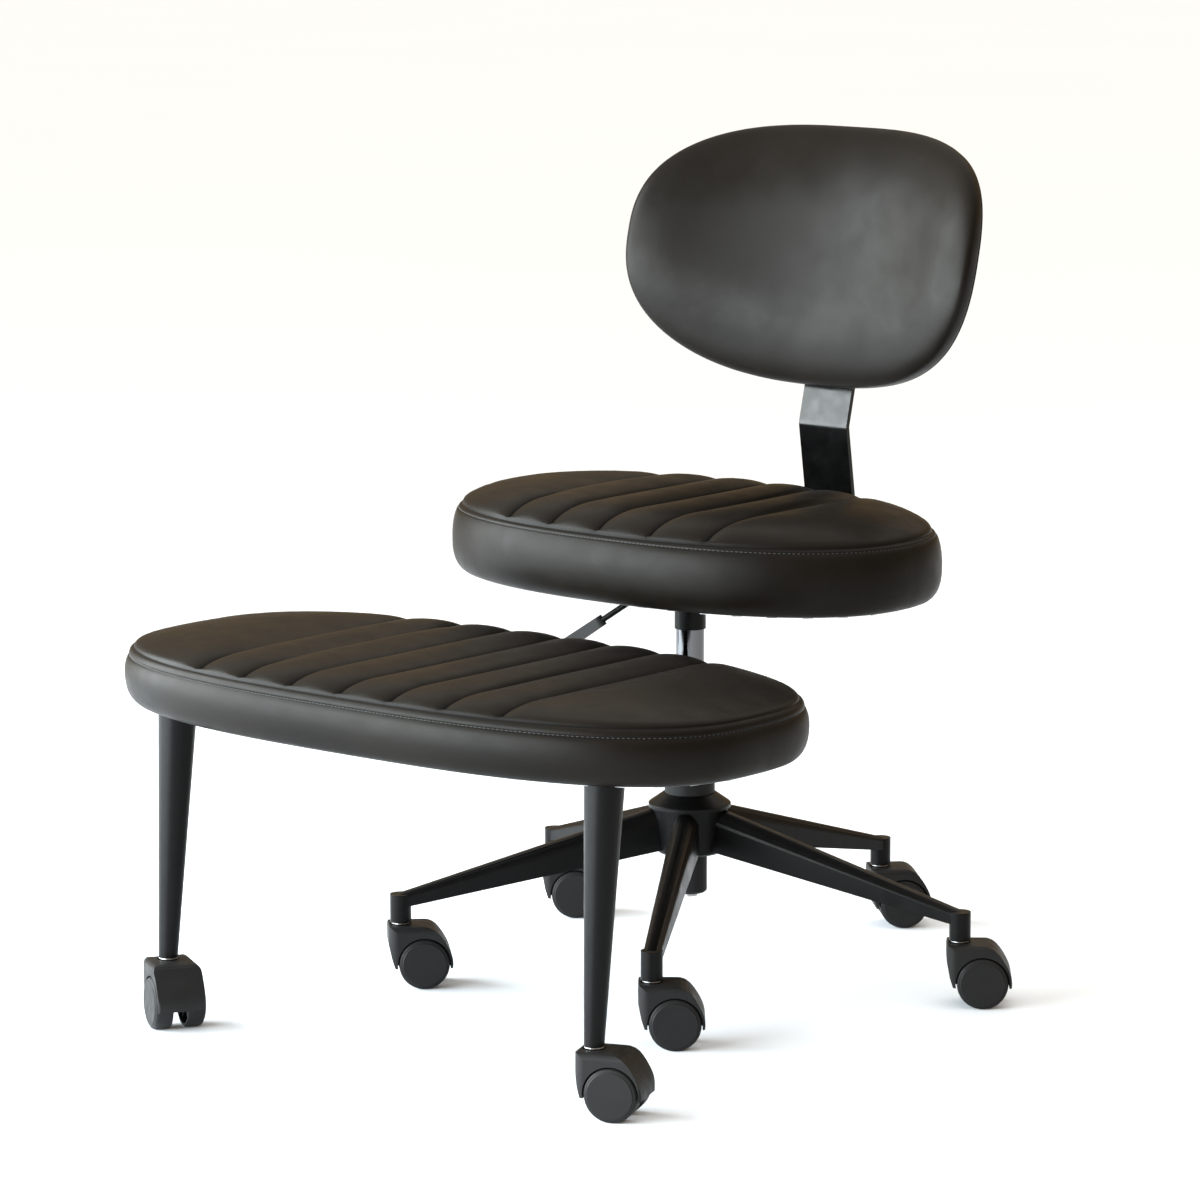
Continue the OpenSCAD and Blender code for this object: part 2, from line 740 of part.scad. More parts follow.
module bench_cushion() {
    color(leather) translate([0, -bench_reach, 0]) difference() {
        channelled_cushion(bench_half_l, bench_half_d, bench_n, bench_bottom_z, bench_side_h,
            bench_crown, bench_bottom_round, bench_top_round, bench_channels, bench_pitch);
        translate([0, 0, bench_bottom_z - cut]) linear_extrude(board_t + soft_gap + cut)
            board_outline(bench_half_l, bench_half_d, bench_n, board_inset - soft_gap);
    }
}

module bench_board() {
    color(wood_black) difference() {
        translate([0, -bench_reach, bench_bottom_z]) linear_extrude(board_t)
            board_outline(bench_half_l, bench_half_d, bench_n, board_inset);
        for (s = [-1, 1], p = arm_bolts) translate([s * p.x, p.y, bench_bottom_z - cut])
            cylinder(h = bolt_l - arm_t + cut, r = bolt_r);
        for (s = [-1, 1]) translate(bench_top(s) - [0, 0, cut])
            cylinder(h = board_t - edge_break + cut, r = stud_r);
    }
}

module bench_bracket() {
    bore = column_d / 2 + liner_t;
    low = bench_bottom_z - sleeve_h;
    plate_z = bench_bottom_z - arm_t;
    corner_x = arm_end_w / 2 - arm_corner;
    color(steel_black) difference() {
        union() {
            translate([0, 0, low]) cylinder(h = sleeve_h, r = sleeve_r);
            translate([0, 0, plate_z]) linear_extrude(arm_t) {
                polygon([[-arm_root_w / 2, 0], [arm_root_w / 2, 0],
                    [arm_end_w / 2, arm_end_y + arm_corner], [-arm_end_w / 2, arm_end_y + arm_corner]]);
                for (s = [-1, 1]) translate([s * corner_x, arm_end_y + arm_corner]) circle(arm_corner);
                translate([-corner_x, arm_end_y]) square([2 * corner_x, arm_corner]);
            }
            translate([-gusset_t / 2, 0, 0]) rotate([90, 0, 90]) linear_extrude(gusset_t)
                polygon([[-bore - edge_break, low + gusset_drop], [-sleeve_r, low + gusset_drop],
                    [-sleeve_r - gusset_l, plate_z - gusset_drop], [-sleeve_r - gusset_l, plate_z],
                    [-bore - edge_break, plate_z]]);
        }
        translate([0, 0, low - cut]) cylinder(h = sleeve_h + 2 * cut, r = bore);
        for (s = [-1, 1], p = arm_bolts) translate([s * p.x, p.y, plate_z - cut])
            cylinder(h = arm_t + 2 * cut, r = bolt_r);
    }
}

module bench_liner() {
    low = bench_bottom_z - sleeve_h;
    bore = column_d / 2 + run_gap;
    outer = column_d / 2 + liner_t;
    flange_r = outer + liner_flange;
    color(plastic_black) rotate_extrude() polygon([
        [bore, low - liner_flange_t], [flange_r - edge_break, low - liner_flange_t],
        [flange_r, low - liner_flange_t + edge_break], [flange_r, low], [outer, low],
        [outer, bench_bottom_z], [bore, bench_bottom_z]]);
}

module carry_ring() {
    top = bench_bottom_z - sleeve_h - liner_flange_t - carry_gap;
    inner = column_d / 2;
    outer = inner + carry_ring_t;
    color(steel_black) rotate_extrude() polygon([
        [inner, top - carry_ring_h], [outer - 2 * edge_break, top - carry_ring_h],
        [outer, top - carry_ring_h + 2 * edge_break], [outer, top - edge_break],
        [outer - edge_break, top], [inner, top]]);
}

// A leg's cone from its foot to its top, grown or shrunk and cut short at either end, with the line
// where its face closes turned to the side
module leg_cone(side, inset, low, high) {
    foot = bench_foot(side);
    axis = bench_top(side) - foot;
    length = norm(axis);
    foot_r = bench_leg_foot_d / 2;
    slope = (bench_leg_top_d / 2 - foot_r) / length;
    translate(foot) along(axis) rotate(90) translate([0, 0, low]) cylinder(h = length - high - low,
        r1 = foot_r - inset + slope * low, r2 = foot_r - inset + slope * (length - high));
}

module bench_leg(side) {
    height = bench_bottom_z - foot_z;
    foot = bench_foot(side);
    reach = 2 * bench_leg_top_d;
    color(steel_black) difference() {
        intersection() {
            leg_cone(side, 0, -foot_gap, -foot_gap);
            translate(foot) cylinder(h = height, r = reach);
        }
        leg_cone(side, bench_leg_wall, leg_plug, leg_cap);
        translate(foot - [0, 0, cut]) cylinder(h = stem_in_leg + cut, r = stem_r);
        translate(bench_top(side) - [0, 0, leg_cap + foot_gap])
            cylinder(h = leg_cap + foot_gap + cut, r = stud_r);
    }
}

module bench_bolts() {
    color(zinc) {
        for (s = [-1, 1], p = arm_bolts) translate([s * p.x, p.y, bench_bottom_z - arm_t])
            bolt(bolt_r, bolt_l, bolt_head_r, bolt_head_h);
        for (s = [-1, 1]) translate(bench_top(s) - [0, 0, leg_cap])
            cylinder(h = leg_cap + board_t - edge_break, r = stud_r);
    }
}

// Seat

module seat_cushion() {
    color(leather) translate([0, seat_y, 0]) difference() {
        channelled_cushion(seat_half_w, seat_half_d, seat_n, seat_bottom_z, seat_side_h,
            seat_crown, seat_bottom_round, seat_top_round, seat_channels, seat_pitch);
        translate([0, 0, seat_bottom_z - cut]) linear_extrude(board_t + soft_gap + cut)
            board_outline(seat_half_w, seat_half_d, seat_n, board_inset - soft_gap);
    }
}

module seat_board() {
    color(wood_black) difference() {
        translate([0, seat_y, seat_bottom_z]) linear_extrude(board_t)
            board_outline(seat_half_w, seat_half_d, seat_n, board_inset);
        for (x = [-1, 1], y = [-1, 1])
            translate([x * plate_bolt_x, y * plate_bolt_y, seat_bottom_z - cut])
                cylinder(h = bolt_l - plate_t + cut, r = bolt_r);
        for (x = [-1, 1], y = bar_bolts_y) translate([x * bar_bolt_x, y, seat_bottom_z - cut])
            cylinder(h = bolt_l - bar_t + cut, r = bolt_r);
    }
}

module seat_bolts() {
    color(zinc) {
        for (x = [-1, 1], y = [-1, 1])
            translate([x * plate_bolt_x, y * plate_bolt_y, seat_bottom_z - plate_t])
                bolt(bolt_r, bolt_l, bolt_head_r, bolt_head_h);
        for (x = [-1, 1], y = bar_bolts_y) translate([x * bar_bolt_x, y, seat_bottom_z - bar_t])
            bolt(bolt_r, bolt_l, bolt_head_r, bolt_head_h);
    }
}

// The frame of the lever: +X out along it, the pivot at the origin
module at_lever() {
    rotate([0, 0, 180 + lever_turn]) translate([pivot_x, 0, pivot_z]) children();
}

module seat_mechanism() {
    plate_z = seat_bottom_z - plate_t;
    box_z = plate_z - box_h;
    end_z = seat_bottom_z - grip_drop;
    grip_r = cylinder_d / 2 + grip_wall;
    lug_in = blade_w / 2 + lug_gap;
    color(steel_black) {
        difference() {
            union() {
                translate([0, 0, plate_z]) linear_extrude(plate_t) rounded(plate_l, plate_d, plate_corner);
                translate([0, 0, box_z]) linear_extrude(box_h) rounded(box_l, box_d, box_corner);
                translate([0, 0, end_z]) cylinder(h = box_z - end_z, r = grip_r);
                translate([0, 0, box_z - grip_flare])
                    cylinder(h = grip_flare, r1 = grip_r, r2 = grip_r + grip_flare);
            }
            difference() {
                translate([0, 0, box_z + box_wall]) linear_extrude(box_h - box_wall)
                    rounded(box_l - 2 * box_wall, box_d - 2 * box_wall, box_corner - box_wall);
                at_lever() for (s = [-1, 1]) translate([-lug_w / 2, s > 0 ? lug_in : -lug_in - lug_t,
                    -lug_w / 2]) cube([lug_w, lug_t, pivot_drop + lug_w / 2]);
            }
            translate([0, 0, end_z - cut])
                cylinder(h = box_z + box_wall - end_z + 2 * cut, r = cylinder_d / 2);
            at_lever() {
                rotate([90, 0, 0]) cylinder(h = 2 * (lug_in + lug_t + cut), r = pivot_r + run_gap,
                    center = true);
                translate([pivot_r, -rod_d / 2 - slot_gap, box_z - pivot_z - cut])
                    cube([box_l, rod_d + 2 * slot_gap, pivot_z - box_z + rod_d / 2 + 2 * slot_gap + cut]);
            }
            for (x = [-1, 1], y = [-1, 1])
                translate([x * plate_bolt_x, y * plate_bolt_y, plate_z - cut])
                    cylinder(h = plate_t + 2 * cut, r = bolt_r);
        }
    }
}

module lever_rod() {
    bend_x = rod_straight - pivot_x;
    slope_l = (lever_reach - rod_straight) / cos(lever_slope) - grip_end;
    pin_l = 2 * (blade_w / 2 + lug_gap + lug_t) - edge_break;
    color(steel_black) at_lever() {
        translate([-pivot_x - blade_end, -blade_w / 2, -blade_t / 2])
            cube([pivot_x + blade_end + pivot_r, blade_w, blade_t]);
        rotate([90, 0, 0]) cylinder(h = pin_l, r = pivot_r, center = true);
        rotate([0, 90, 0]) cylinder(h = bend_x, r = rod_d / 2);
        translate([bend_x, 0, 0]) {
            sphere(rod_d / 2 + elbow_proud);
            rotate([0, 90 + lever_slope, 0]) cylinder(h = slope_l, r = rod_d / 2);
        }
    }
}

// The grip lies flat along the sloping rod, round at both ends, thinner towards the rod
module lever_grip() {
    bend_x = rod_straight - pivot_x;
    start = (grip_x - rod_straight) / cos(lever_slope);
    end = (lever_reach - rod_straight) / cos(lever_slope);
    wide = grip_w / 2;
    color(plastic_black) at_lever() translate([bend_x, 0, 0]) rotate([0, lever_slope, 0]) difference() {
        intersection() {
            translate([0, 0, -grip_t / 2]) linear_extrude(grip_t) union() {
                translate([start + wide, 0]) circle(wide * 9 / 10);
                translate([end - wide, 0]) circle(wide);
                polygon([[start + wide, -wide * 9 / 10], [end - wide, -wide], [end - wide, wide],
                    [start + wide, wide * 9 / 10]]);
            }
            rotate([90, 0, 0]) linear_extrude(grip_w, center = true) polygon([
                [start, -grip_t * 9 / 20], [end - edge_break, -grip_t / 2], [end, -grip_t / 2 + edge_break],
                [end, grip_t / 2 - edge_break], [end - edge_break, grip_t / 2], [start, grip_t * 9 / 20]]);
        }
        rotate([0, 90, 0]) cylinder(h = end - grip_end, r = rod_d / 2);
    }
}

// Backrest

module at_back() {
    translate([0, back_y, back_z]) rotate([-back_tilt, 0, 0]) children();
}

function back_bow(u) = sqrt(back_curve_r * back_curve_r - u * u) - back_curve_r;
function back_ring(inset, depth) =
    [for (q = oval(back_half_w - inset, back_half_h - inset, back_u_n, back_w_n, back_sides))
        [q.x, depth + back_bow(q.x), q.y]];
function back_scaled(share, depth) =
    [for (q = oval(back_half_w - back_edge_r, back_half_h - back_edge_r, back_u_n, back_w_n, back_sides))
        [q.x * share, depth + back_bow(q.x * share), q.y * share]];
function back_crown_at(share) =
    let (t = max(0, 1 - (1 - share) * back_half_h / crown_reach)) -back_crown * sqrt(1 - t * t);

// Rings from the middle of the front, round the edge, to the middle of the rear
function back_rings() =
    let (n = len(back_ring_shares))
    concat(
        [for (i = [n - 1:-1:0]) back_scaled(back_ring_shares[i], back_crown_at(back_ring_shares[i]))],
        [for (i = [len(back_front_shares) - 1:-1:0]) let (s = back_front_shares[i])
            back_ring(back_edge_r * s.x, back_edge_r * s.y)],
        [for (i = [len(back_rear_shares) - 1:-1:0]) let (s = back_rear_shares[i])
            back_ring(back_edge_r * s.x / 2, back_t - back_edge_r * s.y / 2)],
        [for (s = [back_ring_shares[1], back_ring_shares[3]]) back_scaled(s, back_t)]);

module back_padding() {
    rings = back_rings();
    p = back_sides;
    last = len(rings) - 1;
    middle = len(rings) * p;
    polyhedron(
        points = concat([for (r = rings, q = r) q], [[0, -back_crown, 0], [0, back_t, 0]]),
        faces = concat(
            [for (j = [0:p - 1]) [middle, j, (j + 1) % p]],
            [for (l = [0:last - 1], j = [0:p - 1]) let (m = (j + 1) % p)
                each quad(l * p + j, (l + 1) * p + j, (l + 1) * p + m, l * p + m)],
            [for (j = [0:p - 1]) [middle + 1, last * p + (j + 1) % p, last * p + j]]),
        convexity = 4);
}

// A plate bent to the backrest's curve, between two depths and inside the inset outline
module back_shell(inset, front, rear) {
    intersection() {
        translate([0, -back_curve_r, 0]) difference() {
            cylinder(h = 4 * back_half_h, r = back_curve_r + rear, center = true, $fn = 180);
            cylinder(h = 4 * back_half_h + 2 * cut, r = back_curve_r + front, center = true, $fn = 180);
        }
        translate([0, back_half_w, 0]) rotate([90, 0, 0]) linear_extrude(2 * back_half_w)
            polygon(oval(back_half_w - inset, back_half_h - inset, back_u_n, back_w_n, back_sides));
    }
}

module back_cushion() {
    color(leather) at_back() difference() {
        back_padding();
        back_shell(back_board_inset - soft_gap, back_t - back_board_t - soft_gap, back_t + back_edge_r);
    }
}

module back_board() {
    color(wood_black) at_back() difference() {
        union() {
            back_shell(back_board_inset, back_t - back_board_t, back_t);
            translate([-bar_pad_w / 2, back_t - back_board_t / 2, -bar_pad_h / 2])
                cube([bar_pad_w, bar_pad_t + back_board_t / 2, bar_pad_h]);
        }
        for (w = back_bolts_w) translate([0, back_t + bar_pad_t + cut, w]) rotate([90, 0, 0])
            cylinder(h = back_bolt_l - bar_t + cut, r = bolt_r);
    }
}

module back_bolts() {
    color(zinc) at_back() for (w = back_bolts_w)
        translate([0, back_t + bar_pad_t + bar_t, w]) rotate([90, 0, 0])
            bolt(bolt_r, back_bolt_l, bolt_head_r, bolt_head_h);
}

function bend(centre, r, a1, a2) =
    [for (i = [0:bend_steps]) centre + at_angle(r, a1 + (a2 - a1) * i / bend_steps)];
function backwards(points) = [for (i = [len(points) - 1:-1:0]) points[i]];

// Outline of a flat strip bent like sheet metal: up by one angle, and back by another
function bent_strip(runs, turn_up, turn_back, r_up, r_back) =
    let (lift = turn_up - turn_back,
         centre_1 = [runs[0], r_up],
         corner = centre_1 + at_angle(r_up, turn_up - 90) + at_angle(runs[1], turn_up),
         centre_2 = corner + at_angle(r_back + bar_t, turn_up - 90),
         start_1 = turn_up + 90,
         start_2 = lift + 90,
         top = centre_2 + at_angle(r_back + bar_t, start_2) + at_angle(runs[2], lift))
    concat(
        [[0, 0]], bend(centre_1, r_up, -90, turn_up - 90), bend(centre_2, r_back + bar_t, start_1, start_2),
        [top, top + at_angle(bar_t, lift - 90)],
        backwards(bend(centre_2, r_back, start_1, start_2)),
        backwards(bend(centre_1, r_up + bar_t, -90, turn_up - 90)), [[0, -bar_t]]);

module back_bar() {
    rear = back_t + bar_pad_t;
    seat_back_y = back_y + rear * cos(back_tilt);
    seat_back_z = back_z - rear * sin(back_tilt);
    kink_y = seat_back_y - (seat_back_z - bar_kink_z) * tan(back_tilt);
    corner_y = kink_y + (bar_kink_z - seat_bottom_z) * tan(bar_lean);
    first_turn = 90 + bar_lean;
    second_turn = bar_lean + back_tilt;
    first_cut = bar_bend_r * tan(first_turn / 2);
    second_cut = (bar_kink_r + bar_t) * tan(second_turn / 2);
    run_1 = corner_y - first_cut - bar_start_y;
    run_2 = (bar_kink_z - seat_bottom_z) / cos(bar_lean) - first_cut - second_cut;
    run_3 = (seat_back_z - bar_kink_z) / cos(back_tilt) - second_cut + bar_top;
    color(steel_black) difference() {
        translate([-bar_w / 2, bar_start_y, seat_bottom_z]) rotate([90, 0, 90]) linear_extrude(bar_w)
            polygon(bent_strip([run_1, run_2, run_3], first_turn, second_turn, bar_bend_r, bar_kink_r));
        for (x = [-1, 1], y = bar_bolts_y) translate([x * bar_bolt_x, y, seat_bottom_z - bar_t - cut])
            cylinder(h = bar_t + 2 * cut, r = bolt_r);
        at_back() for (w = back_bolts_w) translate([0, rear + bar_t + cut, w]) rotate([90, 0, 0])
            cylinder(h = bar_t + 2 * cut, r = bolt_r);
    }
}

base_hub();
hub_collar();
for (i = [0:leg_count - 1])
    base_leg(i);
gas_column();
guide_bushing();
piston_rod();
gas_cylinder();
valve_button();
base_caster_stems();
bench_caster_stems();
for (i = [0:len(CASTERS) - 1]) {
    at_caster(i) caster_hood();
    at_caster(i) caster_axle();
    at_caster(i) caster_wheel(1);
    at_caster(i) caster_wheel(-1);
}
carry_ring();
bench_liner();
bench_bracket();
bench_board();
bench_cushion();
mirror([1, 0, 0]) bench_leg(-1);  // bench_leg_right
bench_leg(-1);  // bench_leg_left
bench_bolts();
seat_mechanism();
lever_rod();
lever_grip();
seat_bolts();
seat_board();
seat_cushion();
back_bar();
back_bolts();
back_board();
back_cushion();
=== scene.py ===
"""Looks of the cross-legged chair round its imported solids. Metres, +Z up, the chair faces -Y."""
import json
import math
import random

import bpy
import numpy as np
from mathutils import Matrix, Vector
from mathutils.kdtree import KDTree


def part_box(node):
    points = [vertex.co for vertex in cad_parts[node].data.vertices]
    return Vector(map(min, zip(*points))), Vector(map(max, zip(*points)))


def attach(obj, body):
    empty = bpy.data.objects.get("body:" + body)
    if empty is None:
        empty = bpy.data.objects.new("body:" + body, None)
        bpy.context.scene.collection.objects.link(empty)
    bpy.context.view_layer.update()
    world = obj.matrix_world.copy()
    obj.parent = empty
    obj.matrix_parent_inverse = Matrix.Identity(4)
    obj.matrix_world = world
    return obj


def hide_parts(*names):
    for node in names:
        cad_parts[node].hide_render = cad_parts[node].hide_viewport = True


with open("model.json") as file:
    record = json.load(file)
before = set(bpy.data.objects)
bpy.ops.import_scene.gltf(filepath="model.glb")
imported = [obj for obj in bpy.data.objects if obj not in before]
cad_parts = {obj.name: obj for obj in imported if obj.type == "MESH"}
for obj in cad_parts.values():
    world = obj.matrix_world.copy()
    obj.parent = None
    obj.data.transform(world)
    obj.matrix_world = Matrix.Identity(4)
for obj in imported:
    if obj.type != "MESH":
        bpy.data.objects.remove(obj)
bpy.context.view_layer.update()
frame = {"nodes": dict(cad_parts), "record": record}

random.seed(7)

MM = 0.001

# Camera: the photograph's view, as angles, a distance and the offsets of the frame's middle
CAMERA_AZIMUTH = math.radians(39.40)
CAMERA_ELEVATION = math.radians(9.76)
CAMERA_DISTANCE = 5.1275
CAMERA_ASIDE = -0.0890
CAMERA_RAISED = 0.3714
CAMERA_LENS = 154.09
CAMERA_SENSOR = 36.0


def view_axes(azimuth, elevation):
    """The directions right, up and back of a camera that looks at the chair."""
    flat, rise = math.cos(elevation), math.sin(elevation)
    side, front = math.sin(azimuth), -math.cos(azimuth)
    back = Vector((flat * side, flat * front, rise))
    right = Vector((-front, side, 0))
    return right, back.cross(right), back


RIGHT, UP, BACK = view_axes(CAMERA_AZIMUTH, CAMERA_ELEVATION)


def looking(right, up, back, place):
    """The matrix of an object whose -Z looks against back."""
    turn = Matrix((right, up, back)).transposed().to_4x4()
    return Matrix.Translation(place) @ turn


def link(obj):
    bpy.context.scene.collection.objects.link(obj)
    return obj


def add_camera():
    data = bpy.data.cameras.new("camera")
    data.lens = CAMERA_LENS
    data.sensor_width = CAMERA_SENSOR
    data.clip_end = 200
    data.dof.use_dof = False
    camera = link(bpy.data.objects.new("camera", data))
    place = BACK * CAMERA_DISTANCE + RIGHT * CAMERA_ASIDE + UP * CAMERA_RAISED
    camera.matrix_world = looking(RIGHT, UP, BACK, place)
    bpy.context.scene.camera = camera


# Node materials


class Nodes:
    """A material's node tree, with short calls to add and join nodes."""

    def __init__(self, name):
        self.material = bpy.data.materials.new(name)
        self.material.use_nodes = True
        self.tree = self.material.node_tree
        self.shader = self.tree.nodes["Principled BSDF"]
        self.place = self.add("ShaderNodeTexCoord").outputs["Object"]

    def add(self, kind, **settings):
        node = self.tree.nodes.new(kind)
        for key, value in settings.items():
            setattr(node, key, value)
        return node

    def join(self, source, target):
        self.tree.links.new(source, target)

    def fill(self, socket, value):
        if isinstance(value, bpy.types.NodeSocket):
            self.join(value, socket)
        else:
            socket.default_value = value

    def noise(self, scale, detail=2.0, roughness=0.5, stretch=None):
        node = self.add("ShaderNodeTexNoise")
        self.join(self.stretched(stretch) if stretch else self.place, node.inputs["Vector"])
        node.inputs["Scale"].default_value = scale
        node.inputs["Detail"].default_value = detail
        node.inputs["Roughness"].default_value = roughness
        return node.outputs["Fac"]

    def stretched(self, scale):
        node = self.add("ShaderNodeMapping")
        self.join(self.place, node.inputs["Vector"])
        node.inputs["Scale"].default_value = scale
        return node.outputs["Vector"]

    def cells(self, scale, feature="F1"):
        node = self.add("ShaderNodeTexVoronoi", feature=feature)
        self.join(self.place, node.inputs["Vector"])
        node.inputs["Scale"].default_value = scale
        return node.outputs["Distance"]

    def spread(self, value, low, high, to_low=0.0, to_high=1.0):
        node = self.add("ShaderNodeMapRange")
        self.fill(node.inputs["Value"], value)
        for name, number in (("From Min", low), ("From Max", high), ("To Min", to_low), ("To Max", to_high)):
            node.inputs[name].default_value = number
        return node.outputs["Result"]

    def math(self, operation, a, b=0.0):
        node = self.add("ShaderNodeMath", operation=operation)
        self.fill(node.inputs[0], a)
        self.fill(node.inputs[1], b)
        return node.outputs[0]

    def mix(self, share, a, b):
        node = self.add("ShaderNodeMix", data_type="RGBA")
        self.fill(node.inputs["Factor"], share)
        self.fill(node.inputs["A"], a)
        self.fill(node.inputs["B"], b)
        return node.outputs["Result"]

    def attribute(self, name):
        return self.add("ShaderNodeAttribute", attribute_name=name).outputs["Fac"]

    def edges(self, radius):
        """Normals rounded over sharp edges."""
        node = self.add("ShaderNodeBevel", samples=4)
        node.inputs["Radius"].default_value = radius
        return node.outputs["Normal"]

    def bump(self, height, distance, strength=1.0, normal=None):
        node = self.add("ShaderNodeBump")
        self.fill(node.inputs["Height"], height)
        node.inputs["Distance"].default_value = distance
        node.inputs["Strength"].default_value = strength
        if normal is not None:
            self.join(normal, node.inputs["Normal"])
        return node.outputs["Normal"]

    def set(self, **inputs):
        for key, value in inputs.items():
            self.fill(self.shader.inputs[key.replace("_", " ")], value)
        return self.material


def colour(red, green, blue):
    return (red, green, blue, 1.0)


def leather_material():
    """Coated leather: pebbled grain, faint clouding and an uneven gloss, with painted shade in the creases
    and seams.
    """
    n = Nodes("leather")
    cloud = n.noise(9, 3)
    base = n.mix(n.spread(cloud, 0.35, 0.65), colour(0.0034, 0.0025, 0.0017), colour(0.0050, 0.0038, 0.0026))
    # Painted shade: the colour darkens where the mesh marks the channel lines, seams, grooves and the
    # board's pocket
    painted_shade_mask = n.attribute("painted_shade_mask")
    base = n.mix(n.math("MULTIPLY", painted_shade_mask, 0.9), base, colour(0.0015, 0.0015, 0.0015))
    grain = n.math("ADD", n.cells(820, "SMOOTH_F1"), n.math("MULTIPLY", n.noise(420, 3), 0.5))
    rough = n.spread(n.math("ADD", n.noise(38, 3), n.math("MULTIPLY", n.noise(700, 1), 0.4)),
                     0.4, 1.0, 0.36, 0.50)
    normal = n.bump(n.noise(24, 3), 1.6 * MM, 0.11)
    normal = n.bump(grain, 0.10 * MM, 0.55, normal)
    return n.set(Base_Color=base, Roughness=rough, Normal=normal, IOR=1.5, Specular_IOR_Level=0.095)


def thread_material():
    n = Nodes("thread")
    twist = n.noise(1, 2, stretch=(2600, 2600, 900))
    base = n.mix(twist, colour(0.018, 0.018, 0.017), colour(0.05, 0.049, 0.045))
    return n.set(Base_Color=base, Roughness=0.62, Normal=n.bump(twist, 0.08 * MM, 0.8), IOR=1.5)


def painted_material(name, low, high, roughness, bevel, gloss=0.11):
    """Powder coat: a faint orange peel and an uneven gloss, with edges rounded by the bevel."""
    n = Nodes(name)
    base = n.mix(n.noise(22, 4), colour(*low), colour(*high))
    rough = n.spread(n.noise(60, 4), 0.3, 0.7, roughness - 0.05, roughness + 0.07)
    peel = n.math("ADD", n.noise(700, 2), n.math("MULTIPLY", n.noise(2300, 1), 0.4))
    normal = n.bump(peel, 0.05 * MM, 0.35, n.edges(bevel))
    return n.set(Base_Color=base, Roughness=rough, Normal=normal, IOR=1.5, Specular_IOR_Level=gloss)


def metal_material(name, shade, roughness, scratch, strength):
    """Bare metal, brushed along the axis on which its scratches are stretched least."""
    n = Nodes(name)
    lines = n.noise(1, 4, 0.7, stretch=scratch)
    base = n.mix(lines, colour(*[v * 0.86 for v in shade]), colour(*shade))
    rough = n.spread(n.math("ADD", lines, n.math("MULTIPLY", n.noise(40, 3), 0.6)), 0.4, 1.2,
                     roughness * 0.7, roughness * 1.4)
    normal = n.bump(lines, 0.02 * MM, strength, n.edges(0.4 * MM))
    return n.set(Base_Color=base, Roughness=rough, Normal=normal, Metallic=1.0)


def plastic_material():
    """Moulded nylon with a fine spark-eroded texture and an uneven gloss."""
    n = Nodes("moulded_plastic")
    base = n.mix(n.noise(30, 4), colour(0.0075, 0.0075, 0.008), colour(0.0125, 0.0125, 0.013))
    rough = n.spread(n.noise(90, 4), 0.3, 0.7, 0.42, 0.58)
    grit = n.math("ADD", n.noise(1500, 2), n.math("MULTIPLY", n.cells(2100), 0.5))
    return n.set(Base_Color=base, Roughness=rough, IOR=1.46, Specular_IOR_Level=0.18,
                 Normal=n.bump(grit, 0.05 * MM, 0.45, n.edges(0.5 * MM)))


def grip_material():
    """The lever grip's plastic, greyer and with less grit."""
    n = Nodes("grip_plastic")
    base = n.mix(n.noise(30, 4), colour(0.030, 0.031, 0.032), colour(0.042, 0.043, 0.045))
    rough = n.spread(n.noise(90, 4), 0.3, 0.7, 0.45, 0.6)
    return n.set(Base_Color=base, Roughness=rough, IOR=1.46,
                 Normal=n.bump(n.noise(1500, 2), 0.05 * MM, 0.4, n.edges(0.5 * MM)))


def board_material():
    """Dark spun cloth stretched over plywood, with crossed fibres."""
    n = Nodes("board_cloth")
    fibres = n.math("ADD", n.noise(1, 3, 0.7, stretch=(300, 1900, 700)),
                    n.noise(1, 3, 0.7, stretch=(1900, 300, 700)))
    base = n.mix(n.spread(fibres, 0.7, 1.3), colour(0.010, 0.010, 0.010), colour(0.030, 0.029, 0.028))
    return n.set(Base_Color=base, Roughness=0.9, Normal=n.bump(fibres, 0.15 * MM, 0.7, n.edges(0.6 * MM)),
                 Sheen_Weight=0.2, Sheen_Roughness=0.6)


def floor_material():
    n = Nodes("floor")
    base = n.mix(n.noise(0.8, 2), colour(0.83, 0.885, 0.96), colour(0.86, 0.91, 0.98))
    return n.set(Base_Color=base, Roughness=0.75, IOR=1.3, Normal=n.bump(n.noise(160, 3), 0.2 * MM, 0.2))


MATERIALS = {
    "leather": leather_material(),
    "black_steel": painted_material("black_steel", (0.0016, 0.0016, 0.0017), (0.0032, 0.0032, 0.0034), 0.34,
                                    0.7 * MM),
    "column_paint": painted_material("column_paint", (0.009, 0.009, 0.0094), (0.014, 0.014, 0.0145), 0.5,
                                     0.6 * MM),
    "chrome": metal_material("chrome", (0.135, 0.137, 0.142), 0.12, (900, 900, 30), 0.25),
    "plain_steel": metal_material("plain_steel", (0.42, 0.42, 0.43), 0.34, (700, 700, 60), 0.4),
    "black_plastic": plastic_material(),
    "board": board_material(),
}
THREAD = thread_material()


# Meshes


def add_mesh(name, points, faces, material, smooth=True, attributes=None):
    """A new piece from points, faces and per-point numbers for its material."""
    mesh = bpy.data.meshes.new(name)
    mesh.from_pydata([tuple(p) for p in points], [], [tuple(int(i) for i in f) for f in faces])
    for key, values in (attributes or {}).items():
        mesh.attributes.new(key, "FLOAT", "POINT").data.foreach_set("value", np.asarray(values, float))
    mesh.polygons.foreach_set("use_smooth", [smooth] * len(mesh.polygons))
    mesh.materials.append(material)
    mesh.update()
    return link(bpy.data.objects.new(name, mesh))


def point_normals(obj):
    """The normal at each point of an object's mesh."""
    normals = np.zeros(len(obj.data.vertices) * 3)
    obj.data.vertex_normals.foreach_get("vector", normals)
    return normals.reshape(-1, 3)


def band_faces(low, high):
    """Quads between two closed rows of point numbers."""
    count = len(low)
    return [(low[j], low[(j + 1) % count], high[(j + 1) % count], high[j]) for j in range(count)]


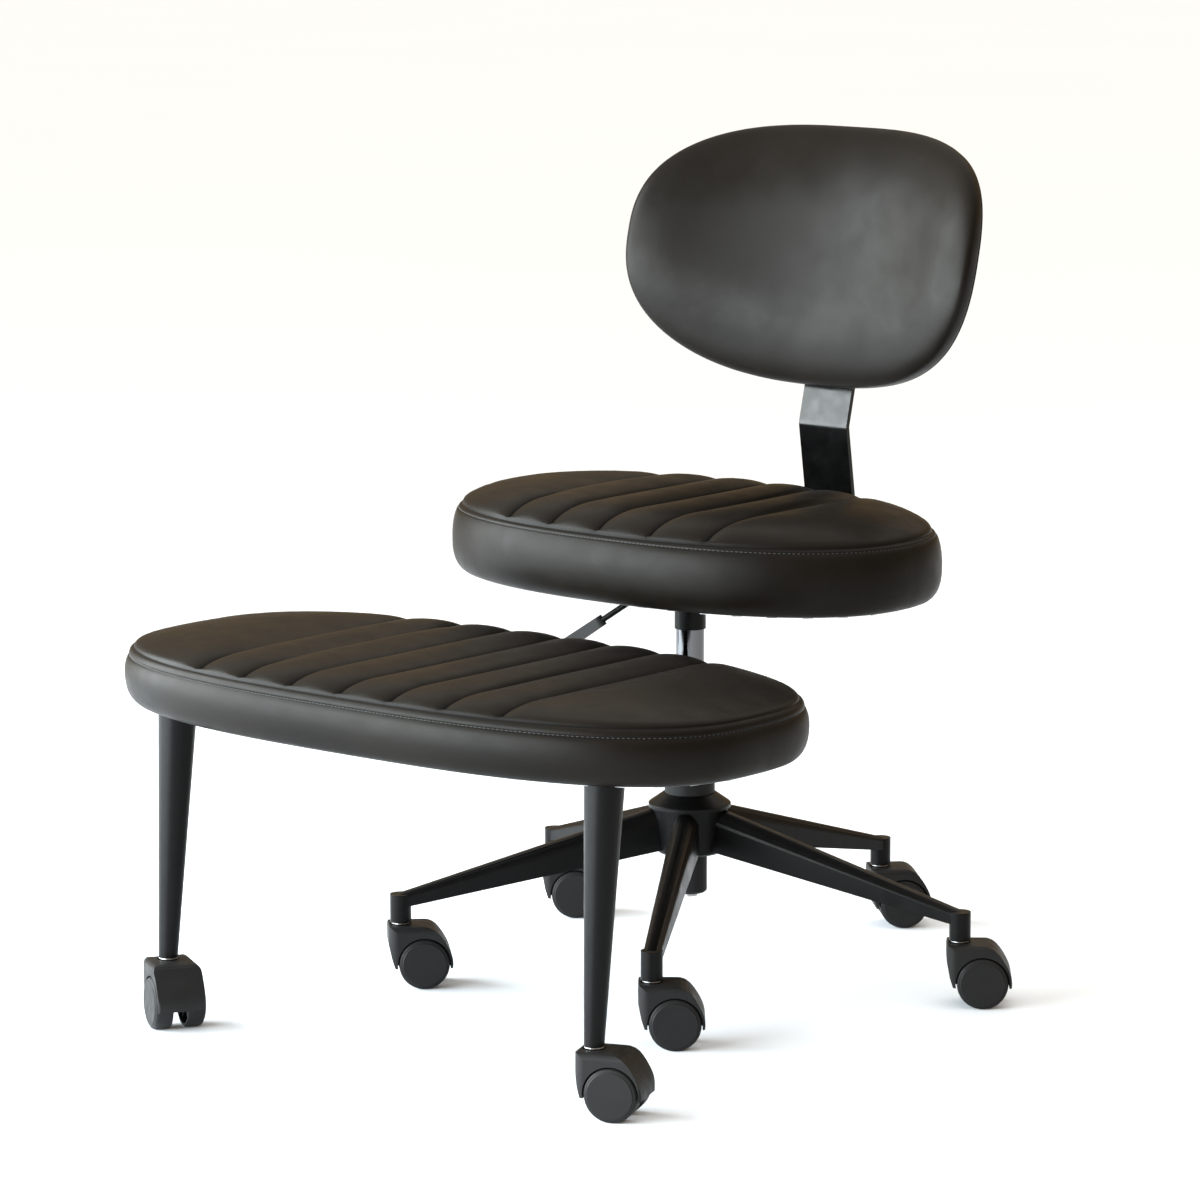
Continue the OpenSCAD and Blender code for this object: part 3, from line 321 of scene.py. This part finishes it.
def resample(points, normals, pitch):
    """Points, directions and normals at equal steps along a closed line."""
    points, normals = np.asarray(points), np.asarray(normals)
    closed = np.vstack([points, points[:1]])
    closed_n = np.vstack([normals, normals[:1]])
    gone = np.concatenate([[0], np.cumsum(np.linalg.norm(np.diff(closed, axis=0), axis=1))])
    count = max(3, round(gone[-1] / pitch))
    at = np.arange(count) * gone[-1] / count
    place = np.stack([np.interp(at, gone, closed[:, i]) for i in range(3)], 1)
    normal = np.stack([np.interp(at, gone, closed_n[:, i]) for i in range(3)], 1)
    along = np.roll(place, -1, 0) - np.roll(place, 1, 0)
    along /= np.linalg.norm(along, axis=1)[:, None]
    normal -= along * (normal * along).sum(1)[:, None]
    normal /= np.linalg.norm(normal, axis=1)[:, None]
    return place, along, normal


# One stitch: rings along it, as shares of its length, and their girth and rise as shares of its radius
STITCH_RINGS = ((-0.5, 0.35, -0.9), (-0.32, 0.9, 0.1), (0.0, 1.0, 0.55), (0.32, 0.9, 0.1), (0.5, 0.35, -0.9))
STITCH_SIDES = 6
STITCH = {"length": 3.3 * MM, "radius": 0.42 * MM, "pitch": 4.6 * MM}


def add_stitches(name, line, body, length, radius, pitch):
    """A row of thread stitches along a closed line of points and normals."""
    places, alongs, normals = resample(*line, pitch)
    points, faces = [], []
    for place, along, normal in zip(places, alongs, normals):
        side = np.cross(normal, along)
        first = len(points)
        for share, girth, rise in STITCH_RINGS:
            middle = place + along * share * length + normal * rise * radius
            for k in range(STITCH_SIDES):
                turn = 2 * math.pi * k / STITCH_SIDES
                points.append(middle + (side * math.cos(turn) + normal * math.sin(turn)) * girth * radius)
        for ring in range(len(STITCH_RINGS) - 1):
            low = [first + ring * STITCH_SIDES + k for k in range(STITCH_SIDES)]
            faces += band_faces(low, [i + STITCH_SIDES for i in low])
        last = first + (len(STITCH_RINGS) - 1) * STITCH_SIDES
        faces.append(tuple(range(first + STITCH_SIDES - 1, first - 1, -1)))
        faces.append(tuple(range(last, last + STITCH_SIDES)))
    stitches = add_mesh(name, points, faces, THREAD)
    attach(stitches, body)


# Inflating a cover

VOXEL = 5 * MM
SIM_FRAMES = 20
CLOTH = {
    "quality": 4,
    "mass": 0.3,
    "tension_stiffness": 12,
    "compression_stiffness": 12,
    "shear_stiffness": 4,
    "bending_stiffness": 0.8,
}


def places_of(mesh):
    places = np.zeros(len(mesh.vertices) * 3)
    mesh.vertices.foreach_get("co", places)
    return places.reshape(-1, 3)


def remeshed(name, points, faces):
    """A closed form as an even grid of small faces."""
    copy = add_mesh(name, points, faces, MATERIALS["leather"])
    remesh = copy.modifiers.new("remesh", "REMESH")
    remesh.mode = "VOXEL"
    remesh.voxel_size = VOXEL
    graph = bpy.context.evaluated_depsgraph_get()
    copy.data = bpy.data.meshes.new_from_object(copy.evaluated_get(graph))
    copy.modifiers.clear()
    return copy


def inflate(name, points, faces, is_sewn, pressure, cap):
    """Blows up a copy of a closed form whose sewn points stay, and returns the start and the shift of
    each of its points, which is never more than the cap."""
    copy = remeshed(name, points, faces)
    start = places_of(copy.data)
    sewn = copy.vertex_groups.new(name="sewn")
    sewn.add([int(i) for i in np.nonzero(is_sewn(start))[0]], 1.0, "REPLACE")
    cloth = copy.modifiers.new("cloth", "CLOTH")
    settings = cloth.settings
    for key, value in CLOTH.items():
        setattr(settings, key, value)
    settings.vertex_group_mass = "sewn"
    settings.use_pressure = True
    settings.uniform_pressure_force = pressure
    settings.effector_weights.gravity = 0
    cloth.point_cache.frame_start = 1
    cloth.point_cache.frame_end = SIM_FRAMES
    scene = bpy.context.scene
    for step in range(1, SIM_FRAMES + 1):
        scene.frame_set(step)
    blown = copy.evaluated_get(bpy.context.evaluated_depsgraph_get())
    shift = places_of(blown.data) - start
    size = np.linalg.norm(shift, axis=1)[:, None]
    shift *= np.minimum(1, cap / np.maximum(size, 1e-9))
    bpy.data.objects.remove(copy)
    scene.frame_set(1)
    return start, shift


def carried(points, start, shift, count=6, blur=1.5 * MM):
    """The shifts of a simulated form, carried over to other points and evened out by the blur."""
    tree = KDTree(len(start))
    for i, p in enumerate(start):
        tree.insert(p, i)
    tree.balance()
    result = np.zeros_like(points)
    for k, p in enumerate(points):
        near = tree.find_n(p, count)
        weights = np.array([1 / (d + blur) for _, _, d in near])
        result[k] = (shift[[i for _, i, _ in near]] * weights[:, None]).sum(0) / weights.sum()
    return result


# Channelled cushions

# How far the drawn-in cover lies inside the widest outline of its solid, in millimetres
TRIM = 3.0

# How a channel sinks towards its line and fades out at the seam, and how wide the painted shade along its
# line is
CHANNEL_POWERS = (2.3, 0.5)
CHANNEL_FADE = 5 * MM
PAINTED_SHADE_WIDTH = 2.6 * MM

# What stays put while a cover is blown up: near a line, near the seam, near the board, and past an outline
SEWN_LINE = 3.2 * MM
SEWN_SEAM = 3.5 * MM
SEWN_BOARD = 12 * MM
SEWN_OUTLINE = 0.86
CUSHION_PRESSURE = 4.0
CUSHION_CAP = 7 * MM


def smooth_step(x):
    x = np.clip(x, 0, 1)
    return x * x * (3 - 2 * x)


class Cushion:
    """The cover of a channelled cushion: columns across it, a seam round its top and a boxed side. Its
    outline has the half width a, the half depth b and the power n."""

    # Steps of the columns from an end, of the rows from the edge and of the columns beside a line, in mm
    END_STEPS = (0.04, 0.2, 0.5, 1.0, 1.7, 2.6, 3.8, 5.3, 7.2, 9.6, 12.6, 16.4, 21, 27, 34, 43, 54, 67, 82,
                 99, 117, 135, 152)
    EDGE_STEPS = (0.0, 0.5, 1.1, 1.9, 3.0, 4.4, 6.2, 8.6, 11.8, 16, 21, 27, 34, 42, 51, 61, 72, 84, 97, 111,
                  126, 142, 158, 174)
    LINE_STEPS = (0.0, 0.45, 1.1, 2.0, 3.4, 5.4, 8.2, 12, 17, 23.5)

    # How near the columns of the ends may come to those of the lines, and the rows to the middle
    COLUMN_GAP = 6 * MM
    ROW_GAP = 5 * MM

    def __init__(self, node, side, crown, exponent, count, pitch, side_profile, reach, channel):
        low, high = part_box(node)
        self.node = node
        self.middle = (low + high) / 2
        self.a = (high.x - low.x) / 2 - TRIM * MM
        self.b = (high.y - low.y) / 2 - TRIM * MM
        self.z0 = low.z
        self.z1 = low.z + side
        self.crown = crown
        self.n = exponent
        self.lines = [(i - (count - 1) / 2) * pitch for i in range(count)]
        self.pitch = pitch
        self.profile = side_profile
        self.reach = reach
        self.channel = channel
        self.columns = self.make_columns()
        self.rows = self.make_rows()

    def make_columns(self):
        steps = [s * MM for s in self.LINE_STEPS]
        half = self.pitch / 2
        columns = []
        for line in self.lines:
            columns += [line - s for s in steps if s < half] + [line + s for s in steps if s < half]
        columns += [line + half for line in self.lines[:-1]]
        outer = self.lines[-1] + steps[-1]
        ends = [self.a - s * MM for s in self.END_STEPS if self.a - s * MM > outer + self.COLUMN_GAP]
        return np.unique(np.round(columns + ends + [-e for e in ends], 7))

    def make_rows(self):
        shares = [1 - s * MM / self.b for s in self.EDGE_STEPS if s * MM < self.b - self.ROW_GAP]
        return np.unique(np.round([-s for s in shares] + shares + [0.0], 7))

    def half_depth(self, x):
        return np.maximum(0, 1 - np.abs(x / self.a) ** self.n) ** (1 / self.n)

    def plan(self, x, share, inset):
        """Places in plan, drawn in by inset from the widest outline."""
        return x * (self.a - inset) / self.a, share * (self.b - inset) * self.half_depth(x)

    def off_line(self, x):
        return np.min(np.abs(np.asarray(x)[..., None] - np.array(self.lines)), axis=-1)

    def puff(self, x, share):
        """How far the channels lie under the crown at a place."""
        across = np.clip(self.off_line(x) / (self.pitch / 2), 0, 1)
        fade = smooth_step((1 - np.abs(share)) * self.b / CHANNEL_FADE)
        steep, blunt = CHANNEL_POWERS
        return self.channel * fade * (1 - (1 - (1 - across) ** steep) ** blunt)

    def height(self, x, share):
        y = share * self.b * self.half_depth(x)
        r = (np.abs(x / self.a) ** self.n + np.abs(y / self.b) ** self.n) ** (1 / self.n)
        t = np.maximum(0, 1 - (1 - np.minimum(1, r)) * self.b / self.reach)
        return self.z1 + self.crown * np.sqrt(1 - t * t) - self.puff(x, share)

    def ring(self, inset, z):
        """A closed row of points at one level of the side."""
        columns, inner = self.columns, self.rows[1:-1]
        x = np.concatenate([columns, np.full(len(inner), columns[-1]), columns[::-1],
                            np.full(len(inner), columns[0])])
        share = np.concatenate([np.full(len(columns), -1.0), inner, np.full(len(columns), 1.0),
                                inner[::-1]])
        px, py = self.plan(x, share, inset)
        return np.stack([px + self.middle.x, py + self.middle.y, np.full(len(px), z)], 1)

    def top_grid(self):
        x, share = np.meshgrid(self.columns, self.rows, indexing="ij")
        px, py = self.plan(x, share, self.profile[0][0] * MM)
        z = self.height(x, share)
        return np.stack([px + self.middle.x, py + self.middle.y, z], -1).reshape(-1, 3), x, share

    def rim_numbers(self):
        """Point numbers of the top grid's edge, in a ring's order."""
        last, rows = len(self.columns) - 1, len(self.rows)
        return ([i * rows for i in range(last + 1)] + [last * rows + j for j in range(1, rows - 1)]
                + [i * rows + rows - 1 for i in range(last, -1, -1)] + list(range(rows - 2, 0, -1)))

    def build(self):
        """Points, faces and the painted shade that the material reads of them."""
        grid, x, share = self.top_grid()
        rows, columns = len(self.rows), len(self.columns)
        faces = [(i * rows + j, (i + 1) * rows + j, (i + 1) * rows + j + 1, i * rows + j + 1)
                 for i in range(columns - 1) for j in range(rows - 1)]
        points = [grid]
        # Painted shade along the channel lines, and full painted shade on the seam round the top
        painted_shade_mask = [np.exp(-(self.off_line(x) / PAINTED_SHADE_WIDTH) ** 2).reshape(-1)]
        above = self.rim_numbers()
        painted_shade_mask[0][above] = 1.0
        self.ring_starts = []
        count = len(grid)
        for inset, drop, painted_shade in self.profile[1:]:
            level = self.ring(inset * MM, self.z1 - drop * MM)
            numbers = list(range(count, count + len(level)))
            faces += band_faces(numbers, above)
            points.append(level)
            painted_shade_mask.append(np.full(len(level), painted_shade))
            self.ring_starts.append(count)
            count += len(level)
            above = numbers
        self.ring_size = len(above)
        faces.append(tuple(above[::-1]))
        return np.concatenate(points), faces, np.concatenate(painted_shade_mask)

    def is_sewn(self, p):
        """Which places don't move while the cover is blown up."""
        x, y = (p[:, :2] - np.array(self.middle[:2])).T
        z = p[:, 2]
        on_line = (self.off_line(x) < SEWN_LINE) & (z > self.z1)
        outer = (np.abs(x / self.a) ** self.n + np.abs(y / self.b) ** self.n) > SEWN_OUTLINE
        return on_line | ((np.abs(z - self.z1) < SEWN_SEAM) & outer) | (z < self.z0 + SEWN_BOARD)


def ring_line(obj, cushion, level):
    """The points and normals of one level of a cushion's side, as a closed line."""
    first = cushion.ring_starts[level]
    numbers = np.arange(first, first + cushion.ring_size)
    points = np.array([obj.data.vertices[int(i)].co for i in numbers])
    return points, point_normals(obj)[numbers]


# The sides' heights, and where the board's pocket starts and how deep it is, in millimetres
BENCH_SIDE, SEAT_SIDE = 54.5, 67.0
BOARD_EDGE, BOARD_RISE = 23.7 - TRIM, 12.3


def underside(side):
    """The levels under the side's widest, as inset, drop and painted shade, round to the board's edge, which
    is painted fully shaded.
    """
    rises = ((0.2, 24.0), (1.1, 17.5), (2.6, 12.0), (4.7, 7.6), (7.3, 4.2), (10.2, 1.8), (13.4, 0.5),
             (16.5, 0.0), (BOARD_EDGE, 0.0))
    return tuple((inset, side - rise, 0) for inset, rise in rises) + ((BOARD_EDGE, side - BOARD_RISE, 1),)


# Each level of the side: inset, drop under the seam, and how much shade is painted on it, in millimetres
BENCH_LEVELS = ((9.2, 0.0, 1.0), (8.6, 1.0, 0.9), (7.2, 1.4, 0.2), (5.6, 2.7, 0), (4.6, 4.6, 0),
                (4.1, 6.6, 0), (4.2, 7.7, 0.5), (4.9, 8.4, 1.0), (3.9, 9.1, 0.5), (2.8, 10.4, 0),
                (1.5, 13.5, 0), (0.6, 17.5, 0), (0.1, 22.0, 0), (0.0, 26.0, 0)) + underside(BENCH_SIDE)
SEAT_LEVELS = ((10.2, 0.0, 1.0), (9.5, 1.0, 0.9), (8.0, 1.3, 0.2), (6.8, 2.4, 0), (6.2, 3.3, 0.5),
               (6.6, 3.9, 1.0), (5.4, 4.6, 0.5), (4.3, 6.2, 0), (2.9, 10.0, 0), (1.5, 15.5, 0),
               (0.5, 22.0, 0), (0.0, 29.0, 0), (0.0, 36.0, 0)) + underside(SEAT_SIDE)

bench = Cushion("bench_cushion", side=BENCH_SIDE * MM, crown=14 * MM, exponent=2.75, count=7,
                pitch=63 * MM, side_profile=BENCH_LEVELS, reach=50 * MM, channel=9 * MM)
seat = Cushion("seat_cushion", side=SEAT_SIDE * MM, crown=22 * MM, exponent=2.3, count=5,
               pitch=63.5 * MM, side_profile=SEAT_LEVELS, reach=60 * MM, channel=9 * MM)

# The side's level on which the thread shows
BENCH_STITCHED, SEAT_STITCHED = 6, 4


def add_channelled_cushion(cushion, body, stitch_level):
    """One cover, blown up between its seams, with the thread of its top-stitched line."""
    points, faces, painted_shade_mask = cushion.build()
    start, shift = inflate(cushion.node + "_blown", points, faces, cushion.is_sewn, CUSHION_PRESSURE,
                           CUSHION_CAP)
    points = points + carried(points, start, shift)
    cover = add_mesh(cushion.node + "_cover", points, faces, MATERIALS["leather"],
                     attributes={"painted_shade_mask": painted_shade_mask})
    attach(cover, body)
    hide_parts(cushion.node)
    line = ring_line(cover, cushion, stitch_level)
    add_stitches(cushion.node + "_stitching", line, body, **STITCH)


add_channelled_cushion(bench, "bench", BENCH_STITCHED)
add_channelled_cushion(seat, "seat", SEAT_STITCHED)


# Backrest

# Where the oval's middle stands, how far it leans back and the radius of its bow
BACK_PLACE = Vector((0, 0.2198, 0.702))
BACK_TILT = math.radians(14)
BACK_CURVE = 0.372

# The depth of the cover's widest line, its crown before that line and how far in the crown rises, and the
# inset beyond which the rings only shrink, in millimetres
BACK_MIDDLE = 14.5
BACK_CROWN = 26.5
BACK_REACH = 88.0
BACK_SHAPED = 45.0

# The crown's powers, and those of the oval's outline along and across it
CROWN_POWERS = (2.4, 0.58)
BACK_POWERS = (2.7, 2.52)
BACK_POINTS = 220
back_low, back_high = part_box("back_cushion")
BACK_HALF_W = (back_high.x - back_low.x) / 2
BACK_HALF_H = 133 * MM
BACK_MATRIX = Matrix.Translation(BACK_PLACE) @ Matrix.Rotation(-BACK_TILT, 4, "X")

# Insets of the front's rings and levels of the rear: inset, depth and how much shade is painted on it, in
# millimetres
BACK_FRONT = (124, 112, 101, 91, 82, 73, 65, 57, 50, 43, 37, 31, 26, 21.5, 17.5, 14, 11, 8.6, 6.6, 4.9, 3.5,
              2.4, 1.5, 0.8, 0.3)
BACK_REAR = ((0.0, 14.5, 0), (0.1, 18.5, 0), (0.5, 22.0, 0), (1.1, 24.6, 0), (1.6, 26.0, 0.1),
             (2.4, 26.9, 0.9), (1.9, 27.8, 0.2), (2.7, 29.0, 0), (4.6, 30.2, 0), (8.0, 30.9, 0),
             (13.0, 31.0, 0), (18.0, 31.0, 0), (21.7, 31.0, 0.3), (21.7, 22.7, 1))

# Shares to which the last level shrinks, over the floor of the board's pocket, which is painted fully shaded
BACK_POCKET = (0.85, 0.65, 0.45, 0.25, 0.1)

# What stays put behind this depth while the cover is blown up, and how evenly the shifts are carried over
BACK_SEWN = 13 * MM
BACK_PRESSURE = 2.5
BACK_CAP = 2.5 * MM
BACK_CARRIED = (150, 30 * MM)


def back_bow(u):
    """How far the bowed oval comes forward at a place along it."""
    return np.sqrt(BACK_CURVE ** 2 - u * u) - BACK_CURVE


def back_ring(inset, depth, share=1.0):
    """A closed row of points of the bowed oval, in metres from an inset and a depth in millimetres."""
    turn = np.arange(BACK_POINTS) * 2 * math.pi / BACK_POINTS
    c, s = np.cos(turn), np.sin(turn)
    u = share * (BACK_HALF_W - inset * MM) * np.sign(c) * np.abs(c) ** (2 / BACK_POWERS[0])
    w = share * (BACK_HALF_H - inset * MM) * np.sign(s) * np.abs(s) ** (2 / BACK_POWERS[1])
    return np.stack([u, depth * MM + back_bow(u), w], 1)


def back_depth(inset):
    """The front's depth at an inset: one crown, steep at the edge, that goes on rising far from it."""
    flat, steep = CROWN_POWERS
    return BACK_MIDDLE - BACK_CROWN * (1 - (1 - min(1, inset / BACK_REACH)) ** flat) ** steep


def back_form():
    """Points, faces and painted shade of the backrest's cover, from the middle of its front to its rear."""
    rings, painted_shade_mask = [], []
    for inset in BACK_FRONT:
        kept = min(inset, BACK_SHAPED)
        share = (BACK_HALF_H - inset * MM) / (BACK_HALF_H - kept * MM)
        rings.append(back_ring(kept, back_depth(inset), share))
        painted_shade_mask.append(0)
    for inset, depth, painted_shade in BACK_REAR:
        rings.append(back_ring(inset, depth))
        painted_shade_mask.append(painted_shade)
    inset, depth, _ = BACK_REAR[-1]
    for share in BACK_POCKET:
        rings.append(back_ring(inset, depth, share))
        painted_shade_mask.append(1)
    rows = [list(range(k * BACK_POINTS, (k + 1) * BACK_POINTS)) for k in range(len(rings))]
    front = len(rings) * BACK_POINTS
    points = rings + [np.array([[0, back_depth(BACK_HALF_H / MM) * MM, 0], [0, depth * MM, 0]])]
    faces = [(front, a, b) for a, b in zip(rows[0], rows[0][1:] + rows[0][:1])]
    for inner, outer in zip(rows, rows[1:]):
        faces += band_faces(outer, inner)
    faces += [(front + 1, b, a) for a, b in zip(rows[-1], rows[-1][1:] + rows[-1][:1])]
    values = np.concatenate([np.full(BACK_POINTS, c) for c in painted_shade_mask] + [[0, 1]])
    return np.concatenate(points), faces, values


def back_is_sewn(p):
    """Which places don't move while the cover is blown up."""
    return p[:, 1] - back_bow(p[:, 0]) > BACK_SEWN


def add_backrest():
    points, faces, painted_shade_mask = back_form()
    start, shift = inflate("back_blown", points, faces, back_is_sewn, BACK_PRESSURE, BACK_CAP)
    points = points + carried(points, start, shift, *BACK_CARRIED)
    places = np.array([tuple(BACK_MATRIX @ Vector(p)) for p in points])
    cover = add_mesh("back_cushion_cover", places, faces, MATERIALS["leather"],
                     attributes={"painted_shade_mask": painted_shade_mask})
    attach(cover, "seat")
    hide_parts("back_cushion")


add_backrest()


# Small hardware


def add_turned(name, profile, place, material, body, count=32):
    """A closed ring turned about the upright through a place, from radii and heights in millimetres."""
    rows = [[(place[0] + r * MM * math.cos(2 * math.pi * k / count),
              place[1] + r * MM * math.sin(2 * math.pi * k / count), z * MM) for k in range(count)]
            for r, z in profile]
    numbers = [list(range(i * count, (i + 1) * count)) for i in range(len(rows))]
    faces = [face for low, high in zip(numbers, numbers[1:] + numbers[:1]) for face in band_faces(low, high)]
    ring = add_mesh(name, [p for row in rows for p in row], faces, material)
    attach(ring, body)


# Points nearer than this to each other, in plan, are of the same stem
STEM_APART = 25 * MM


def stem_places(node):
    """Where a node's upright stems stand, from the middles of its loose pieces."""
    mesh = frame["nodes"][node].data
    matrix = frame["nodes"][node].matrix_world
    points = np.array([matrix @ v.co for v in mesh.vertices])
    places = []
    for p in points:
        if not any(math.hypot(q[0] - p[0], q[1] - p[1]) < STEM_APART for q in places):
            group = points[np.hypot(points[:, 0] - p[0], points[:, 1] - p[1]) < STEM_APART]
            places.append((group[:, :2].max(0) + group[:, :2].min(0)) / 2)
    return places


# A spring washer on each caster's stem, between the hood and the socket or leg above it
WASHER = ((7.9, 62.2), (8.9, 62.2), (9.2, 62.6), (9.2, 63.4), (8.9, 63.8), (7.9, 63.8))


def add_washers():
    for solids, body in (("base_caster_stems", "base"), ("bench_caster_stems", "bench")):
        for i, place in enumerate(stem_places(solids)):
            add_turned(f"{solids}_washer_{i}", WASHER, place, MATERIALS["plain_steel"], body)


add_washers()

# A staple's wire, as places along it and under the board, and half its thickness, in millimetres
STAPLE = ((-5.0, -1.2), (-5.0, 0.35), (-4.6, 0.6), (4.6, 0.6), (5.0, 0.35), (5.0, -1.2))
STAPLE_LEGS = 4.8
STAPLE_R = 0.35
STAPLE_SKEW = 0.35
STAPLE_INSET = 18.5 * MM
STAPLE_PITCH = 34 * MM


def staple_line(cushion, count=400):
    """The closed line on the underside that the staples follow."""
    turn = np.linspace(0, 2 * math.pi, count, endpoint=False)
    c, s = np.cos(turn), np.sin(turn)
    x = cushion.middle.x + (cushion.a - STAPLE_INSET) * np.sign(c) * np.abs(c) ** (2 / cushion.n)
    y = cushion.middle.y + (cushion.b - STAPLE_INSET) * np.sign(s) * np.abs(s) ** (2 / cushion.n)
    return np.stack([x, y, np.full(len(x), cushion.z0)], 1)


def add_staples(cushion, body):
    """Staples that hold the cover's turned edge to the board, along the inside of the underside."""
    down = np.array((0.0, 0.0, -1.0))
    line = staple_line(cushion)
    places, alongs, _ = resample(line, np.tile(down, (len(line), 1)), STAPLE_PITCH)
    points, faces = [], []
    for place, along in zip(places, alongs):
        skew = random.uniform(-STAPLE_SKEW, STAPLE_SKEW)
        side = np.cross(down, along)
        along = along * math.cos(skew) + side * math.sin(skew)
        side = np.cross(down, along)
        first = len(points)
        for step, rise in STAPLE:
            middle = place + (along * step + down * rise) * MM
            for a, b in ((-1, -1), (1, -1), (1, 1), (-1, 1)):
                other = down if abs(step) < STAPLE_LEGS else along
                points.append(middle + (side * a + other * b) * STAPLE_R * MM)
        rings = [list(range(first + 4 * k, first + 4 * k + 4)) for k in range(len(STAPLE))]
        for low, high in zip(rings, rings[1:]):
            faces += band_faces(low, high)
        faces += [tuple(rings[0][::-1]), tuple(rings[-1])]
    staples = add_mesh(cushion.node + "_staples", points, faces, MATERIALS["plain_steel"], smooth=False)
    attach(staples, body)


add_staples(bench, "bench")
add_staples(seat, "seat")


# Finish of the solids, by the record's slots

OWN_FINISH = {
    "lever_grip": grip_material(),
    "back_bar": painted_material("bar_paint", (0.0012, 0.0012, 0.0013), (0.0024, 0.0024, 0.0025),
                                 0.16, 0.7 * MM, 0.18),
}

for part in frame["record"]["subparts"]:
    node = frame["nodes"][part["node"]]
    node.data.materials.clear()
    node.data.materials.append(OWN_FINISH.get(part["node"], MATERIALS[part["material_slot"]]))


# Floor and light

FLOOR_RADIUS = 60.0
FLOOR_POINTS = 64
ROOM_COLOUR = colour(0.440, 0.292, 0.142)
OVERHEAD_COLOUR = colour(1.60, 1.52, 1.40)

# Between these heights on the sky, as sines, the room turns into the light overhead
ROOM_EDGE = (0.25, 0.85)

# Each light's place, the point that it faces, its size in metres and its power in watts
WINDOW_TINT = (0.90, 0.98, 1.0)
LIGHTS = {
    "window": ((-2.2, -1.60, 1.20), (0, -1.60, 1.20), (2.3, 2.1), 246),
    "fill": ((-1.2, -3.2, 0.85), (0, -0.2, 0.7), (2.6, 1.6), 275),
}


def add_area(name, place, target, size, power, tint):
    """A flat light at a place, turned to face its target."""
    place, target = Vector(place), Vector(target)
    data = bpy.data.lights.new(name, "AREA")
    data.shape = "RECTANGLE"
    data.size, data.size_y = size
    data.energy = power
    data.color = tint
    lamp = link(bpy.data.objects.new(name, data))
    back = (place - target).normalized()
    right = Vector((0, 0, 1)).cross(back).normalized()
    lamp.matrix_world = looking(right, back.cross(right), back, place)


def add_floor():
    turns = [2 * math.pi * k / FLOOR_POINTS for k in range(FLOOR_POINTS)]
    rim = [(FLOOR_RADIUS * math.cos(turn), FLOOR_RADIUS * math.sin(turn), 0) for turn in turns]
    floor = add_mesh("floor", rim, [tuple(range(FLOOR_POINTS))], floor_material(), smooth=False)


def add_world():
    """A dim warm room round the chair, white overhead."""
    world = bpy.data.worlds.new("studio")
    world.use_nodes = True
    bpy.context.scene.world = world
    tree = world.node_tree
    place = tree.nodes.new("ShaderNodeTexCoord").outputs["Generated"]
    apart = tree.nodes.new("ShaderNodeSeparateXYZ")
    tree.links.new(place, apart.inputs[0])
    height = tree.nodes.new("ShaderNodeMapRange")
    height.interpolation_type = "SMOOTHSTEP"
    height.inputs["From Min"].default_value, height.inputs["From Max"].default_value = ROOM_EDGE
    tree.links.new(apart.outputs["Z"], height.inputs["Value"])
    blend = tree.nodes.new("ShaderNodeMix")
    blend.data_type = "RGBA"
    blend.inputs["A"].default_value = ROOM_COLOUR
    blend.inputs["B"].default_value = OVERHEAD_COLOUR
    tree.links.new(height.outputs["Result"], blend.inputs["Factor"])
    tree.links.new(blend.outputs["Result"], tree.nodes["Background"].inputs["Color"])


def add_lights():
    """A tall cool window on the sitter's right, and a wide fill in front of it."""
    for name, (place, target, size, power) in LIGHTS.items():
        add_area(name, place, target, size, power, WINDOW_TINT)


add_camera()
add_floor()
add_world()
add_lights()
bpy.context.scene.view_settings.view_transform = "Standard"
